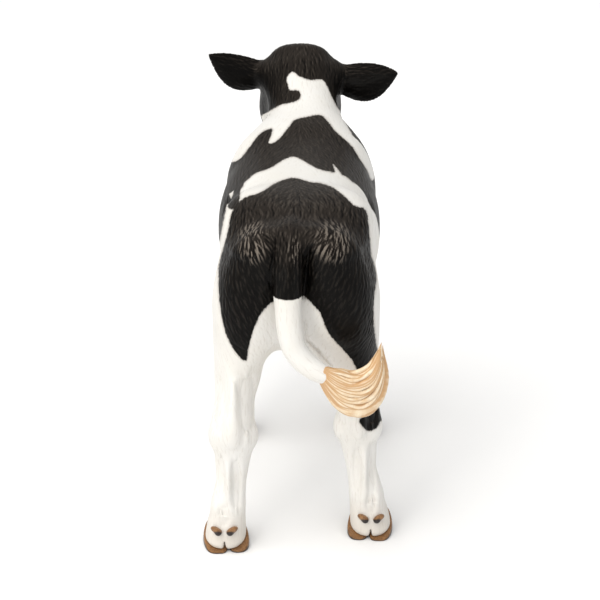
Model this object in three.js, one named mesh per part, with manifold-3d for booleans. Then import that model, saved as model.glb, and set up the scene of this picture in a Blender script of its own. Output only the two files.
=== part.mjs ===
// A standing Holstein calf, as a life-size painted resin statue. Millimetres, +Z up.
// The calf faces -Y, so its left side is +X, and it stands on Z = 0.
// The body is one smooth field: lofts and ellipsoids that blend into each other. Each
// sub-part is meshed from that field at its own pitch and parted from its neighbours by
// thin cuts. Shapes are written as [side, ahead, up]: to the calf's left from its middle,
// forward from the left hind heel, and up from the floor.

import * as THREE from "three";
import { mergeVertices } from "three/addons/utils/BufferGeometryUtils.js";
import Module from "manifold-3d";

const wasm = await Module();
wasm.setup();

// ---------------------------------------------------------------- driving dimensions
const GAP = 0.4; // between sub-parts
const MIDDLE = { side: -2.2, ahead: 498.4 }; // where the part's origin is on the floor
const HIND = {
  left: { hock: 140, foot: 161, step: 0 },
  right: { hock: -135, foot: -166, step: 62 },
};
const FORE = {
  left: { elbow: 122, foot: 170, ahead: 606 },
  right: { elbow: -122, foot: -152, ahead: 622 },
};
const HEAD = { side: 6, ahead: 872, up: 943, tilt: -42, from: 700 };
const EYE = { along: 126, out: 74, below: 50, radius: 18 };
const EAR = { width: 94, thick: 7, cup: 20, droop: 15 };
const CLAW = { coronetBack: 15, coronetSlope: 0.36, cleft: 1.2, high: 90 };
const DEWCLAW = { out: 18, back: 11, up: 58, radii: [12, 15, 11] };
// How coarsely each piece of skin is meshed.
const PITCH = { rump: 50, barrel: 55, shoulders: 54, neck: 42, head: 28, muzzle: 19 };
const LEG_PITCH = { thigh: 45, forearm: 34, hock: 33, cannon: 28, knee: 27, pastern: 24, claw: 23 };

// ---------------------------------------------------------------- fields
const clamp = (v, low, high) => Math.min(Math.max(v, low), high);
const radians = THREE.MathUtils.degToRad;

// A smooth curve through rows of numbers. The first number is the place along the axis.
function profile(rows) {
  const slopes = rows.map((row, i) => {
    const before = rows[Math.max(i - 1, 0)];
    const after = rows[Math.min(i + 1, rows.length - 1)];
    return row.map((_, c) => (after[c] - before[c]) / (after[0] - before[0]));
  });
  return (t) => {
    let i = 0;
    while (i < rows.length - 2 && t > rows[i + 1][0]) i++;
    const span = rows[i + 1][0] - rows[i][0];
    const s = clamp((t - rows[i][0]) / span, 0, 1);
    const [square, cube] = [s * s, s * s * s];
    return rows[i].map(
      (v, c) =>
        v * (2 * cube - 3 * square + 1) +
        rows[i + 1][c] * (3 * square - 2 * cube) +
        span * (slopes[i][c] * (cube - 2 * square + s) + slopes[i + 1][c] * (cube - square)),
    );
  };
}

// A body along a straight axis. Each row is a section: where it is on the axis, its middle,
// its high side, the level where it is widest, its low side, half its width, and the powers
// of its high and low curves, where 2 is an ellipse. The ends are domes, `cap` long.
function loft(place, rows, cap) {
  const section = profile(rows);
  const [first, last] = [rows[0][0], rows[rows.length - 1][0]];
  return (p) => {
    const [along, across, out] = place(p);
    const [, middle, high, wide, low, half, highPower, lowPower] = section(along);
    const rise = out - wide;
    const reach = rise > 0 ? high - wide : wide - low;
    const power = rise > 0 ? highPower : lowPower;
    const x = Math.abs(across - middle) / half;
    const y = Math.abs(rise) / reach;
    const ring = Math.max((x ** power + y ** power) ** (1 / power), 1e-6);
    const slope = Math.hypot((x / ring) ** (power - 1) / half, (y / ring) ** (power - 1) / reach);
    const past = Math.max(first - along, along - last, 0) / cap;
    const size = Math.hypot(ring, past);
    return (size - 1) / Math.hypot((slope * ring) / size, past / size / cap);
  };
}

// A place turned into the terms of a loft whose axis is level, upright or tilted.
const level = ([side, ahead, up]) => [ahead, side, up];
const upright = ([side, ahead, up]) => [up, side, ahead];
function tilted(origin, degrees) {
  const [c, s] = [Math.cos(radians(degrees)), Math.sin(radians(degrees))];
  return ([side, ahead, up]) => {
    const [a, u] = [ahead - origin[1], up - origin[2]];
    return [a * c + u * s, side - origin[0], u * c - a * s];
  };
}
// The place that a tilted loft's own terms mean.
function untilted(origin, degrees, [along, across, out]) {
  const [c, s] = [Math.cos(radians(degrees)), Math.sin(radians(degrees))];
  return [origin[0] + across, origin[1] + along * c - out * s, origin[2] + along * s + out * c];
}

// An ellipsoid, turned about the side axis by `degrees`.
function lump(centre, radii, degrees = 0) {
  const local = tilted(centre, degrees);
  return (p) => {
    const [along, across, out] = local(p);
    const scaled = [across / radii[0], along / radii[1], out / radii[2]];
    const size = Math.hypot(...scaled);
    if (size < 1e-6) return -Math.min(...radii);
    return (size * (size - 1)) / Math.hypot(...scaled.map((v, i) => v / radii[i]));
  };
}

const mix = (a, b, t) => a + (b - a) * t;
// Two bodies joined, or one taken from the other, with a fillet `soft` wide.
function blend(a, b, soft) {
  const h = Math.max(soft - Math.abs(a - b), 0) / soft;
  return Math.min(a, b) - (h * h * soft) / 4;
}
const carve = (a, b, soft) => -blend(-a, b, soft);
const mirrored = (field) => (p) => field([Math.abs(p[0]), p[1], p[2]]);

// ---------------------------------------------------------------- trunk and neck
// Rows: ahead, middle, back line, widest level, belly line, half width, powers.
const barrel = loft(level, [
  [20, 0, 756, 650, 500, 122, 2.8, 2.2],
  [95, 0, 782, 650, 470, 142, 2.9, 2.2],
  [165, 0, 791, 655, 440, 151, 3, 2.2],
  [255, 0, 789, 630, 418, 156, 2.6, 2.2],
  [350, 1, 790, 610, 400, 176, 2.5, 2.2],
  [445, 2, 793, 605, 386, 190, 2.4, 2.2],
  [535, 2, 802, 605, 384, 184, 2.5, 2.2],
  [620, 0, 820, 610, 392, 170, 2.6, 2.2],
  [695, -3, 816, 612, 416, 154, 2.6, 2.1],
  [750, -2, 792, 606, 462, 130, 2.4, 2],
], 36);

const NECK = [-4, 640, 700];
const neck = loft(tilted(NECK, 41), [
  [0, 3, 105, -20, -150, 133, 2.2, 2],
  [70, -1, 84, -15, -136, 114, 2.2, 2],
  [140, -4, 72, -12, -108, 90, 2.1, 2],
  [205, 2, 66, -10, -94, 82, 2, 2],
  [262, 6, 54, -10, -86, 80, 2, 2],
], 40);

const flank = mirrored(lump([146, 232, 522], [38, 75, 90], -20));
const hook = mirrored(lump([100, 160, 726], [52, 76, 46]));
const pin = mirrored(lump([62, 2, 700], [46, 50, 48]));
const shoulder = mirrored(lump([108, 650, 610], [60, 88, 150], 18));
const brisket = lump([0, 722, 510], [86, 62, 112], 14);
const groin = lump([0, 165, 478], [86, 96, 50]);
const innerThigh = lump([-26, 92, 486], [42, 70, 46]);

// ---------------------------------------------------------------- legs
// Rows of a hind leg: up, middle, front, widest level, back, half width, powers. The foot
// steps ahead by `step` at the ground, and less and less up to the hip.
function hindLeg({ hock, foot, step }) {
  const toSide = Math.sign(hock);
  const [h, f] = [Math.abs(hock), Math.abs(foot)];
  const rows = [
    [24, f, 88, 44, -8, 46, 2.4, 2.4],
    [52, mix(f, h, 0.1), 79, 40, -8, 43, 2.4, 2.4],
    [80, mix(f, h, 0.25), 73, 34, -9, 40, 2.3, 2.2],
    [106, mix(f, h, 0.35), 69, 30, -11, 39, 2.2, 2.2],
    [132, mix(f, h, 0.5), 65, 31, -5, 36, 2.1, 2.2],
    [166, mix(f, h, 0.72), 63, 32, 0, 35, 2.1, 2.2],
    [206, mix(f, h, 0.86), 66, 32, -4, 41, 2.1, 2.2],
    [246, h, 70, 30, -14, 48, 2.2, 2.2],
    [286, h, 78, 24, -27, 54, 2.2, 2.1],
    [318, h - 2, 90, 26, -27, 53, 2.2, 2],
    [352, h - 5, 112, 40, -16, 48, 2.1, 2],
    [392, h - 9, 142, 62, -6, 50, 2, 2],
    [432, h - 14, 170, 82, -4, 56, 2, 2],
    [476, h - 26, 196, 92, -14, 70, 2, 2.1],
    [525, h - 31, 212, 92, -32, 75, 2, 2.2],
    [582, h - 34, 220, 88, -44, 77, 2, 2.2],
    [645, h - 41, 226, 90, -42, 72, 2, 2.2],
    [700, h - 53, 215, 92, -18, 58, 2, 2.2],
  ];
  const stepped = rows.map(([up, middle, front, wide, back, ...rest]) => {
    const shift = step * clamp((640 - up) / 400, 0, 1);
    return [up, toSide * middle, front + shift, wide + shift, back + shift, ...rest];
  });
  return loft(upright, stepped, 30);
}

function foreLeg({ elbow, foot, ahead }) {
  const toSide = Math.sign(foot);
  const [e, f] = [Math.abs(elbow), Math.abs(foot)];
  const rows = [
    [24, f, 46, 2, -40, 44, 2.4, 2.4],
    [52, f, 38, -2, -42, 41, 2.4, 2.4],
    [80, f - 1, 30, -8, -46, 39, 2.3, 2.2],
    [106, f - 2, 24, -14, -50, 38, 2.2, 2.2],
    [136, f - 4, 18, -14, -44, 33, 2.1, 2.2],
    [175, f - 8, 17, -14, -43, 33, 2.1, 2.2],
    [212, f - 12, 24, -10, -44, 38, 2.2, 2.2],
    [244, f - 15, 30, -6, -44, 42, 2.3, 2.2],
    [276, mix(f, e, 0.45), 27, -8, -46, 41, 2.2, 2.2],
    [316, mix(f, e, 0.62), 32, -10, -54, 43, 2, 2],
    [366, mix(f, e, 0.8), 44, -12, -68, 48, 2, 2],
    [420, e + 2, 58, -12, -84, 54, 2, 2],
    [475, e - 4, 70, -8, -90, 58, 2, 2],
  ];
  const stood = rows.map(([up, middle, front, wide, back, ...rest]) => {
    return [up, toSide * middle, front + ahead, wide + ahead, back + ahead, ...rest];
  });
  return loft(upright, stood, 40);
}

const legs = [hindLeg(HIND.left), hindLeg(HIND.right), foreLeg(FORE.left), foreLeg(FORE.right)];

// ---------------------------------------------------------------- head
const POLL = [HEAD.side, HEAD.ahead, HEAD.up];
const onHead = tilted(POLL, HEAD.tilt);
const headPlace = (across, along, out) => untilted(POLL, HEAD.tilt, [along, across, out]);
const headLump = (across, along, out, radii, degrees = 0) =>
  lump(headPlace(across, along, out), radii, HEAD.tilt + degrees);
const both = (make) => [make(1), make(-1)];

const face = loft(onHead, [
  [22, 0, -10, -62, -150, 82, 2.2, 2],
  [64, 0, 2, -60, -178, 84, 2.4, 2],
  [104, 0, 4, -62, -184, 80, 2.5, 2],
  [140, 0, -3, -66, -174, 73, 2.5, 2],
  [180, 0, -12, -70, -154, 65, 2.5, 2],
  [220, 0, -16, -70, -134, 58, 2.5, 2],
  [262, 0, -16, -68, -122, 57, 2.5, 2.1],
  [298, 0, -20, -66, -114, 58, 2.5, 2.2],
], 24);
const skull = headLump(0, 34, -60, [92, 80, 74]);
const cheeks = both((k) => headLump(k * 54, 112, -110, [50, 72, 62], -8));
const brows = both((k) => headLump(k * 60, 110, -28, [28, 38, 26], 6));
const earRoots = both((k) => headLump(k * 86, 28, -56, [34, 30, 30]));
const crown = both((k) => headLump(k * 24, 10, -18, [42, 38, 26]));
const nosePad = headLump(0, 304, -56, [52, 26, 38]);
const lips = both((k) => headLump(k * 30, 280, -88, [31, 46, 28], 6));
const chin = headLump(0, 272, -116, [34, 36, 20], 6);
const nostrils = both((k) => headLump(k * 37, 324, -44, [12, 18, 9], 24));

function body(p) {
  let d = blend(barrel(p), hook(p), 60);
  d = blend(d, pin(p), 50);
  d = blend(d, flank(p), 50);
  d = blend(d, shoulder(p), 60);
  d = blend(d, brisket(p), 60);
  d = blend(d, groin(p), 34);
  d = blend(d, innerThigh(p), 30);
  d = blend(d, neck(p), 55);
  let limbs = Infinity;
  legs.forEach((leg) => (limbs = Math.min(limbs, leg(p))));
  d = blend(d, limbs, 42);
  if (p[1] < HEAD.from) return d;
  let h = blend(face(p), skull(p), 40);
  cheeks.forEach((cheek) => (h = blend(h, cheek(p), 40)));
  brows.forEach((brow) => (h = blend(h, brow(p), 22)));
  crown.forEach((top) => (h = blend(h, top(p), 24)));
  earRoots.forEach((root) => (h = blend(h, root(p), 26)));
  h = blend(h, nosePad(p), 16);
  lips.forEach((lip) => (h = blend(h, lip(p), 18)));
  h = blend(h, chin(p), 20);
  nostrils.forEach((nostril) => (h = carve(h, nostril(p), 8)));
  return blend(d, h, 34);
}

// ---------------------------------------------------------------- meshes
function toManifold(positions, triangles) {
  return new wasm.Manifold(
    new wasm.Mesh({
      numProp: 3,
      vertProperties: new Float32Array(positions),
      triVerts: new Uint32Array(triangles),
    }),
  );
}

// The corners of a cell of the grid, as bits, its edges along each axis, and its faces.
const cellEdges = [0, 1, 2].flatMap((n) =>
  [0, 1, 2, 3].map((ab) => {
    const corner = ((ab & 1) << ((n + 1) % 3)) | ((ab >> 1) << ((n + 2) % 3));
    return [corner, corner | (1 << n)];
  }),
);
const edgeBetween = (a, b) => {
  const [from, to] = [Math.min(a, b), Math.max(a, b)];
  return cellEdges.findIndex(([c, d]) => c === from && d === to);
};
const cellFaces = [0, 1, 2].flatMap((n) =>
  [0, 1].map((w) => {
    const [u, v] = [1 << ((n + 1) % 3), 1 << ((n + 2) % 3)];
    const corners = [w << n, (w << n) | u, (w << n) | u | v, (w << n) | v];
    return corners.map((c, i) => {
      const [last, next] = [corners[(i + 3) % 4], corners[(i + 1) % 4]];
      return { c, before: edgeBetween(last, c), after: edgeBetween(c, next) };
    });
  }),
);

// The sheets of surface in a cell: the edges that each sheet crosses. Two corners that are
// inside and only face each other across a diagonal are kept apart.
function sheets(inside) {
  const crossed = cellEdges.map(([a, b]) => inside[a] !== inside[b]);
  let group = crossed.map((_, i) => i);
  const join = (a, b) => (group = group.map((g) => (g === group[b] ? group[a] : g)));
  cellFaces.forEach((face) => {
    const open = face.filter(({ after }) => crossed[after]);
    if (open.length === 2) join(open[0].after, open[1].after);
    if (open.length === 4) face.filter(({ c }) => inside[c]).forEach((f) => join(f.before, f.after));
  });
  const found = new Map();
  crossed.forEach((on, i) => on && found.set(group[i], [...(found.get(group[i]) ?? []), i]));
  return [...found.values()];
}

// A point moved on to the surface of a field, by no more than `most` in each turn.
function settle(field, point, most) {
  const reach = 0.5;
  let p = point;
  for (let turn = 0; turn < 3; turn++) {
    const d = field(p);
    const g = [0, 1, 2].map((n) => (field(p.map((v, m) => v + (m === n ? reach : 0))) - d) / reach);
    const scale = clamp(d / (g[0] ** 2 + g[1] ** 2 + g[2] ** 2 + 1e-9), -most, most);
    p = p.map((v, n) => v - g[n] * scale);
  }
  return p;
}

// The surface of a field inside a box: a point for each sheet in each cell of a grid, and a
// quad round each grid edge that the surface crosses. The box itself closes the surface.
function polygonize(field, low, high, pitch) {
  const count = low.map((v, i) => Math.ceil((high[i] - v) / pitch) + 1);
  const at = (cell) => (cell[0] * count[1] + cell[1]) * count[2] + cell[2];
  const cells = [];
  for (let i = 0; i < count[0]; i++)
    for (let j = 0; j < count[1]; j++) for (let k = 0; k < count[2]; k++) cells.push([i, j, k]);
  const values = cells.map((cell) => {
    if (cell.some((v, n) => v === 0 || v === count[n] - 1)) return pitch;
    return field(cell.map((v, n) => low[n] + v * pitch));
  });
  const step = (cell, bits) => cell.map((v, n) => v + ((bits >> n) & 1));

  const points = [];
  const pointOf = new Map();
  cells.forEach((cell) => {
    if (cell.some((v, n) => v === count[n] - 1)) return;
    const corners = [0, 1, 2, 3, 4, 5, 6, 7].map((bits) => values[at(step(cell, bits))]);
    const inside = corners.map((v) => v < 0);
    if (inside.every((v) => v === inside[0])) return;
    sheets(inside).forEach((sheet) => {
      const sum = [0, 0, 0];
      sheet.forEach((e) => {
        const [a, b] = cellEdges[e];
        const t = corners[a] / (corners[a] - corners[b]);
        sum.forEach((_, n) => (sum[n] += ((a >> n) & 1) + (((b >> n) & 1) - ((a >> n) & 1)) * t));
        pointOf.set(at(cell) * 12 + e, points.length);
      });
      const middle = sum.map((v, n) => low[n] + (cell[n] + v / sheet.length) * pitch);
      points.push(settle(field, middle, pitch / 3));
    });
  });

  const triangles = [];
  cells.forEach((cell) => {
    const inside = values[at(cell)] < 0;
    [0, 1, 2].forEach((n) => {
      if (cell[n] === count[n] - 1) return;
      if (inside === values[at(step(cell, 1 << n))] < 0) return;
      const corner = (a, b) => {
        const back = [0, 0, 0];
        back[(n + 1) % 3] = a;
        back[(n + 2) % 3] = b;
        return pointOf.get(at(cell.map((v, m) => v - back[m])) * 12 + n * 4 + a + 2 * b);
      };
      const ring = [corner(0, 0), corner(1, 0), corner(1, 1), corner(0, 1)];
      if (!inside) ring.reverse();
      triangles.push(ring[0], ring[1], ring[2], ring[0], ring[2], ring[3]);
    });
  });
  return toManifold(points.flat(), triangles);
}

function fromGeometry(geometry) {
  geometry.deleteAttribute("normal");
  geometry.deleteAttribute("uv");
  const merged = mergeVertices(geometry, 1e-4);
  return toManifold(merged.attributes.position.array, merged.index.array);
}

// Everything on one side of a plane through `point`: ahead of it, or behind it. The plane
// faces ahead at 0 degrees and up at 90, and stands back by half a gap.
const FAR = 2000;
function half(point, degrees, ahead) {
  const geometry = new THREE.BoxGeometry(2 * FAR, FAR, 2 * FAR);
  geometry.translate(0, ((FAR + GAP) / 2) * (ahead ? 1 : -1), 0);
  geometry.rotateX(radians(degrees));
  geometry.translate(...point);
  return fromGeometry(geometry);
}
const aheadOf = (point, degrees = 0) => half(point, degrees, true);
const behind = (point, degrees = 0) => half(point, degrees, false);
const above = (up) => aheadOf([0, 0, up], 90);
const below = (up) => behind([0, 0, up], 90);
// Everything further out than `side`, on the side that `toSide` names, past half a gap.
function outside(side, toSide) {
  const geometry = new THREE.BoxGeometry(FAR, 2 * FAR, 2 * FAR);
  geometry.translate(toSide * (side + (FAR + GAP) / 2), 0, 0);
  return fromGeometry(geometry);
}
const all = (...solids) => solids.reduce((a, b) => a.intersect(b));

// A solid moved out along its own vertex normals, for a neighbour to keep clear of.
function swollen(solid, by) {
  const mesh = solid.getMesh();
  const geometry = new THREE.BufferGeometry();
  geometry.setAttribute("position", new THREE.BufferAttribute(Float32Array.from(mesh.vertProperties), 3));
  geometry.setIndex(Array.from(mesh.triVerts));
  geometry.computeVertexNormals();
  const positions = geometry.attributes.position.array;
  const normals = geometry.attributes.normal.array;
  return toManifold(positions.map((v, i) => v + normals[i] * by), geometry.index.array);
}

// Rings of points joined into a closed solid, with a middle point at each end.
function rings(rows) {
  const round = rows[0].length;
  const middle = (row) => [0, 1, 2].map((n) => row.reduce((sum, p) => sum + p[n], 0) / round);
  const points = [...rows.flat(), middle(rows[0]), middle(rows[rows.length - 1])];
  const [start, end] = [points.length - 2, points.length - 1];
  const lastRow = (rows.length - 1) * round;
  const triangles = [];
  for (let j = 0; j < round; j++) {
    const next = (j + 1) % round;
    triangles.push(start, next, j, end, lastRow + j, lastRow + next);
    for (let i = 0; i < lastRow; i += round) {
      triangles.push(i + j, i + next, i + round + next, i + j, i + round + next, i + round + j);
    }
  }
  const solid = toManifold(points.flat(), triangles);
  return solid.volume() > 0 ? solid : toManifold(points.flat(), triangles.reverse());
}

// A sweep along points. Each row is [side, ahead, up, half height, half depth]: the section
// stands across the path, and its depth lies along `depth`.
function sweep(rows, depth, round, steps) {
  const at = profile(rows.map((row, i) => [i, ...row]));
  const sections = [];
  for (let n = 0; n <= steps; n++) {
    const t = (n / steps) * (rows.length - 1);
    const [, side, ahead, up, tall, deep] = at(t);
    const next = at(Math.min(t + 0.02, rows.length - 1));
    const last = at(Math.max(t - 0.02, 0));
    const path = new THREE.Vector3(next[1] - last[1], next[2] - last[2], next[3] - last[3]).normalize();
    const out = new THREE.Vector3(...depth);
    out.addScaledVector(path, -out.dot(path)).normalize();
    const across = new THREE.Vector3().crossVectors(path, out);
    sections.push(
      Array.from({ length: round }, (_, j) => {
        const turn = (j / round) * 2 * Math.PI;
        const p = new THREE.Vector3(side, ahead, up);
        p.addScaledVector(across, Math.cos(turn) * tall).addScaledVector(out, Math.sin(turn) * deep);
        return p.toArray();
      }),
    );
  }
  return rings(sections);
}

// ---------------------------------------------------------------- sub-parts
const part = new THREE.Group();
const COLOURS = {
  coat: { color: 0xf1eee8, roughness: 0.4, metalness: 0 },
  black: { color: 0x14110f, roughness: 0.35, metalness: 0 },
  hoof: { color: 0x8a6440, roughness: 0.45, metalness: 0 },
  hair: { color: 0xe3c49a, roughness: 0.6, metalness: 0 },
  eye: { color: 0x1c110a, roughness: 0.08, metalness: 0 },
};

function addPart(name, solid, colour) {
  const mesh = solid.getMesh();
  const positions = [];
  for (let i = 0; i < mesh.vertProperties.length; i += mesh.numProp) {
    const [side, ahead, up] = mesh.vertProperties.subarray(i, i + 3);
    positions.push(side - MIDDLE.side, MIDDLE.ahead - ahead, up);
  }
  const geometry = new THREE.BufferGeometry();
  geometry.setAttribute("position", new THREE.Float32BufferAttribute(positions, 3));
  geometry.setIndex(Array.from(mesh.triVerts).reverse()); // ahead is -Y, which turns each face
  geometry.computeVertexNormals();
  const item = new THREE.Mesh(geometry, new THREE.MeshStandardMaterial(COLOURS[colour]));
  item.name = name;
  part.add(item);
}

// The largest piece of a cut, without the crumbs that a cut can leave.
const whole = (solid) => solid.decompose().reduce((a, b) => (a.volume() > b.volume() ? a : b));
const flesh = (low, high, pitch) => polygonize(body, low, high, pitch);

// ---- trunk, neck and head
const CUTS = { rump: 300, shoulders: 500, thighTop: 560, thighTilt: 62, thighFront: 240, dock: 600 };
const SPANS = { thigh: 405, hock: [245, 405], knee: [205, 305], fetlock: 106 };
const ELBOW = { up: 410, side: 70 };
const hindWedge = (grow) =>
  all(
    behind([0, 90, CUTS.thighTop + grow], CUTS.thighTilt),
    behind([0, CUTS.thighFront + grow, 0]),
  );
const neckCut = untilted(NECK, 41, [70, 0, 0]);
const headCut = [0, 798, 840];
const muzzleCut = headPlace(0, 236, -60);

const rump = flesh([-210, -80, 380], [210, 340, 820], PITCH.rump);
addPart("trunk_rump", whole(rump.intersect(behind([0, CUTS.rump, 0])).subtract(hindWedge(GAP))), "black");
const middle = flesh([-220, 260, 360], [220, 560, 830], PITCH.barrel);
addPart("trunk_barrel", all(middle, aheadOf([0, CUTS.rump, 0]), behind([0, CUTS.shoulders, 0])), "coat");
const fore = flesh([-220, 460, 360], [220, 900, 860], PITCH.shoulders);
const foreFree = (toSide) => all(outside(ELBOW.side, toSide), below(ELBOW.up + GAP));
const chest = all(fore, aheadOf([0, CUTS.shoulders, 0]), behind(neckCut, 41));
addPart("trunk_shoulders", whole(chest.subtract(foreFree(1)).subtract(foreFree(-1))), "black");
const nape = flesh([-150, 580, 600], [150, 860, 960], PITCH.neck);
addPart("neck", whole(all(nape, aheadOf(neckCut, 41), behind(headCut, 5))), "coat");

const eyeAt = (toSide) => headPlace(toSide * EYE.out, EYE.along, -EYE.below);
const eyeball = (toSide, grow) => {
  const geometry = new THREE.SphereGeometry(EYE.radius + grow, 10, 7);
  geometry.translate(...eyeAt(toSide));
  return fromGeometry(geometry);
};
const headWhole = flesh([-140, 770, 640], [150, 1150, 990], PITCH.head);
let head = all(headWhole, aheadOf(headCut, 5), behind(muzzleCut, HEAD.tilt));
head = head.subtract(eyeball(1, GAP)).subtract(eyeball(-1, GAP));
head = whole(head);
addPart("head", head, "black");
const muzzle = flesh([-90, 990, 660], [100, 1170, 860], PITCH.muzzle);
addPart("muzzle", whole(all(muzzle, aheadOf(muzzleCut, HEAD.tilt))), "coat");
addPart("eye_left", eyeball(1, 0), "eye");
addPart("eye_right", eyeball(-1, 0), "eye");

// ---- ears: a leaf, cupped about its length, that grows from the side of the head
const EARS = {
  left: { root: [92, 868, 874], tip: [234, 815, 942], toSide: 1, full: 0.86 },
  right: { root: [-80, 866, 868], tip: [-239, 815, 897], toSide: -1, full: 1.12 },
};
const earShape = profile([
  [0, 0.6, 1],
  [0.16, 0.85, 1],
  [0.4, 1, 0.9],
  [0.64, 0.88, 0.6],
  [0.86, 0.48, 0.3],
  [1, 0.06, 0.05],
]);
function ear({ root, tip, toSide, full }) {
  const start = new THREE.Vector3(...root);
  const along = new THREE.Vector3(...tip).sub(start);
  const length = along.length();
  along.normalize();
  const front = new THREE.Vector3(toSide * 0.25, 1, -0.1);
  front.addScaledVector(along, -front.dot(along)).normalize();
  const rise = new THREE.Vector3().crossVectors(front, along).multiplyScalar(-toSide);
  const [steps, spread] = [8, 4];
  const sections = [];
  for (let i = 0; i <= steps; i++) {
    const [, leaf, cup] = earShape(i / steps);
    const wide = leaf * mix(1, full, i / steps);
    const droop = -EAR.droop * Math.sin((Math.PI * i) / steps);
    const point = (j, faceSide) => {
      const v = -1 + (2 * j) / spread;
      const thick = EAR.thick * (1 - 0.55 * v * v) * 0.5;
      const p = start.clone().addScaledVector(along, (length * i) / steps);
      p.addScaledVector(rise, droop + (v * wide * EAR.width) / 2);
      return p.addScaledVector(front, -EAR.cup * cup * (1 - v * v) + faceSide * thick).toArray();
    };
    const ring = [];
    for (let j = 0; j <= spread; j++) ring.push(point(j, -1));
    for (let j = spread; j >= 0; j--) ring.push(point(j, 1));
    sections.push(ring);
  }
  return rings(sections);
}
const headClear = swollen(headWhole, 2 * GAP);
addPart("ear_left", whole(ear(EARS.left).subtract(headClear)), "black");
addPart("ear_right", whole(ear(EARS.right).subtract(headClear)), "black");

// ---- legs
function clawField(foot, heel, toSide, turn) {
  const local = ([side, ahead, up]) => {
    const [x, a] = [side - foot, ahead - heel - 40];
    const [c, s] = [Math.cos(turn), Math.sin(turn)];
    return [up, x * c - a * s, a * c + x * s + 40];
  };
  const rows = [
    [-20, 23, 101, 38, -19, 27.5, 1.8, 2.4],
    [8, 23, 101, 38, -19, 28, 1.8, 2.4],
    [34, 22, 92, 37, -16, 26.5, 1.9, 2.4],
    [62, 21, 82, 36, -12, 25, 2, 2.4],
    [90, 20, 74, 34, -10, 22, 2, 2.4],
  ];
  return loft(local, rows.map(([up, middle, ...rest]) => [up, toSide * middle, ...rest]), 10);
}

function dewclaw(at, toSide) {
  const geometry = new THREE.SphereGeometry(1, 7, 5);
  geometry.scale(...DEWCLAW.radii);
  geometry.rotateX(-0.5);
  geometry.rotateZ(toSide * 0.35);
  geometry.translate(...at);
  return fromGeometry(geometry);
}

function leg(name, { top, foot, heel, turn, spans, high }) {
  const toSide = Math.sign(foot);
  const box = ([from, to], pitch) => {
    const low = [Math.min(toSide * 20, toSide * 260), heel - 160, from - 30];
    return flesh(low, [low[0] + 240, heel + 300, to + 30], pitch);
  };
  const coronet = [0, heel, CLAW.coronetBack];
  const tilt = 90 + THREE.MathUtils.radToDeg(Math.atan(CLAW.coronetSlope));
  addPart(`${name}_${high}`, top, "coat");
  spans.forEach(([segment, [from, to]]) => {
    const solid = all(box([from, to], LEG_PITCH[segment]), above(from), below(to));
    addPart(`${name}_${segment}`, whole(solid), "coat");
  });
  const pasternWhole = box([CLAW.coronetBack, SPANS.fetlock], LEG_PITCH.pastern);
  const pastern = whole(all(pasternWhole, below(SPANS.fetlock), aheadOf(coronet, tilt)));
  addPart(`${name}_pastern`, pastern, "coat");
  const pasternClear = swollen(pasternWhole, GAP);
  [["outer", toSide], ["inner", -toSide]].forEach(([place, way]) => {
    const low = [foot - 60, heel - 20, -20];
    const high = [foot + 60, heel + 130, CLAW.high];
    const claw = polygonize(clawField(foot, heel, way, turn), low, high, LEG_PITCH.claw);
    const cleft = outside(0, way).rotate([0, 0, THREE.MathUtils.radToDeg(-turn)]);
    const placed = cleft.translate([foot + (way * CLAW.cleft) / 2, heel + 40, 0]);
    const shod = all(claw, placed, above(-GAP / 2), behind(coronet, tilt));
    addPart(`${name}_claw_${place}`, whole(shod), "hoof");
    const spur = dewclaw([foot + way * DEWCLAW.out, heel - DEWCLAW.back, DEWCLAW.up], way);
    addPart(`${name}_dewclaw_${place}`, whole(spur.subtract(pasternClear)), "hoof");
  });
}

Object.entries(HIND).forEach(([side, { foot, step }]) => {
  const thighs = flesh([-240, -80, 360], [240, 300, 700], LEG_PITCH.thigh);
  const thigh = all(thighs, hindWedge(0), outside(0, Math.sign(foot)), above(SPANS.thigh));
  leg(`hind_${side}`, {
    top: whole(thigh),
    high: "thigh",
    foot,
    heel: step,
    turn: Math.sign(foot) * 0.1,
    spans: [
      ["hock", SPANS.hock],
      ["cannon", [SPANS.fetlock, SPANS.hock[0]]],
    ],
  });
});
Object.entries(FORE).forEach(([side, { foot, ahead }]) => {
  const toSide = Math.sign(foot);
  const arms = flesh([-240, 480, 280], [240, 740, 440], LEG_PITCH.forearm);
  const arm = all(arms, aheadOf([0, CUTS.shoulders, 0]), above(SPANS.knee[1]));
  leg(`fore_${side}`, {
    top: whole(all(arm, outside(ELBOW.side, toSide), below(ELBOW.up))),
    high: "forearm",
    foot,
    heel: ahead - 46,
    turn: toSide * 0.06,
    spans: [
      ["knee", SPANS.knee],
      ["cannon", [SPANS.fetlock, SPANS.knee[0]]],
    ],
  });
});

// ---- tail
const TAIL_PATH = [
  [8, 100, 728, 26, 24],
  [9, 58, 740, 29, 26],
  [11, 20, 738, 30, 28],
  [13, -12, 719, 30, 28],
  [15, -33, 688, 30, 28],
  [16, -44, 650, 30, 28],
  [16, -50, 600, 29, 27],
  [13, -57, 556, 28, 26],
  [4, -62, 520, 27, 25],
  [-16, -67, 492, 26, 24],
  [-40, -72, 474, 24, 22],
  [-66, -76, 461, 21, 19],
];
const SWITCH_PATH = [
  [-66, -77, 462, 20, 18],
  [-80, -74, 448, 34, 24],
  [-103, -66, 424, 50, 27],
  [-130, -57, 411, 55, 28],
  [-153, -48, 419, 46, 27],
  [-168, -40, 443, 28, 24],
  [-179, -32, 470, 16, 17],
  [-184, -22, 495, 9, 9],
  [-182, -18, 516, 3, 3],
];
const tail = sweep(TAIL_PATH, [0, 1, 0], 8, 16);
const rumpClear = swollen(rump, GAP);
const tailFree = whole(tail.subtract(rumpClear));
addPart("tail_dock", whole(tailFree.intersect(above(CUTS.dock))), "black");
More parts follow.
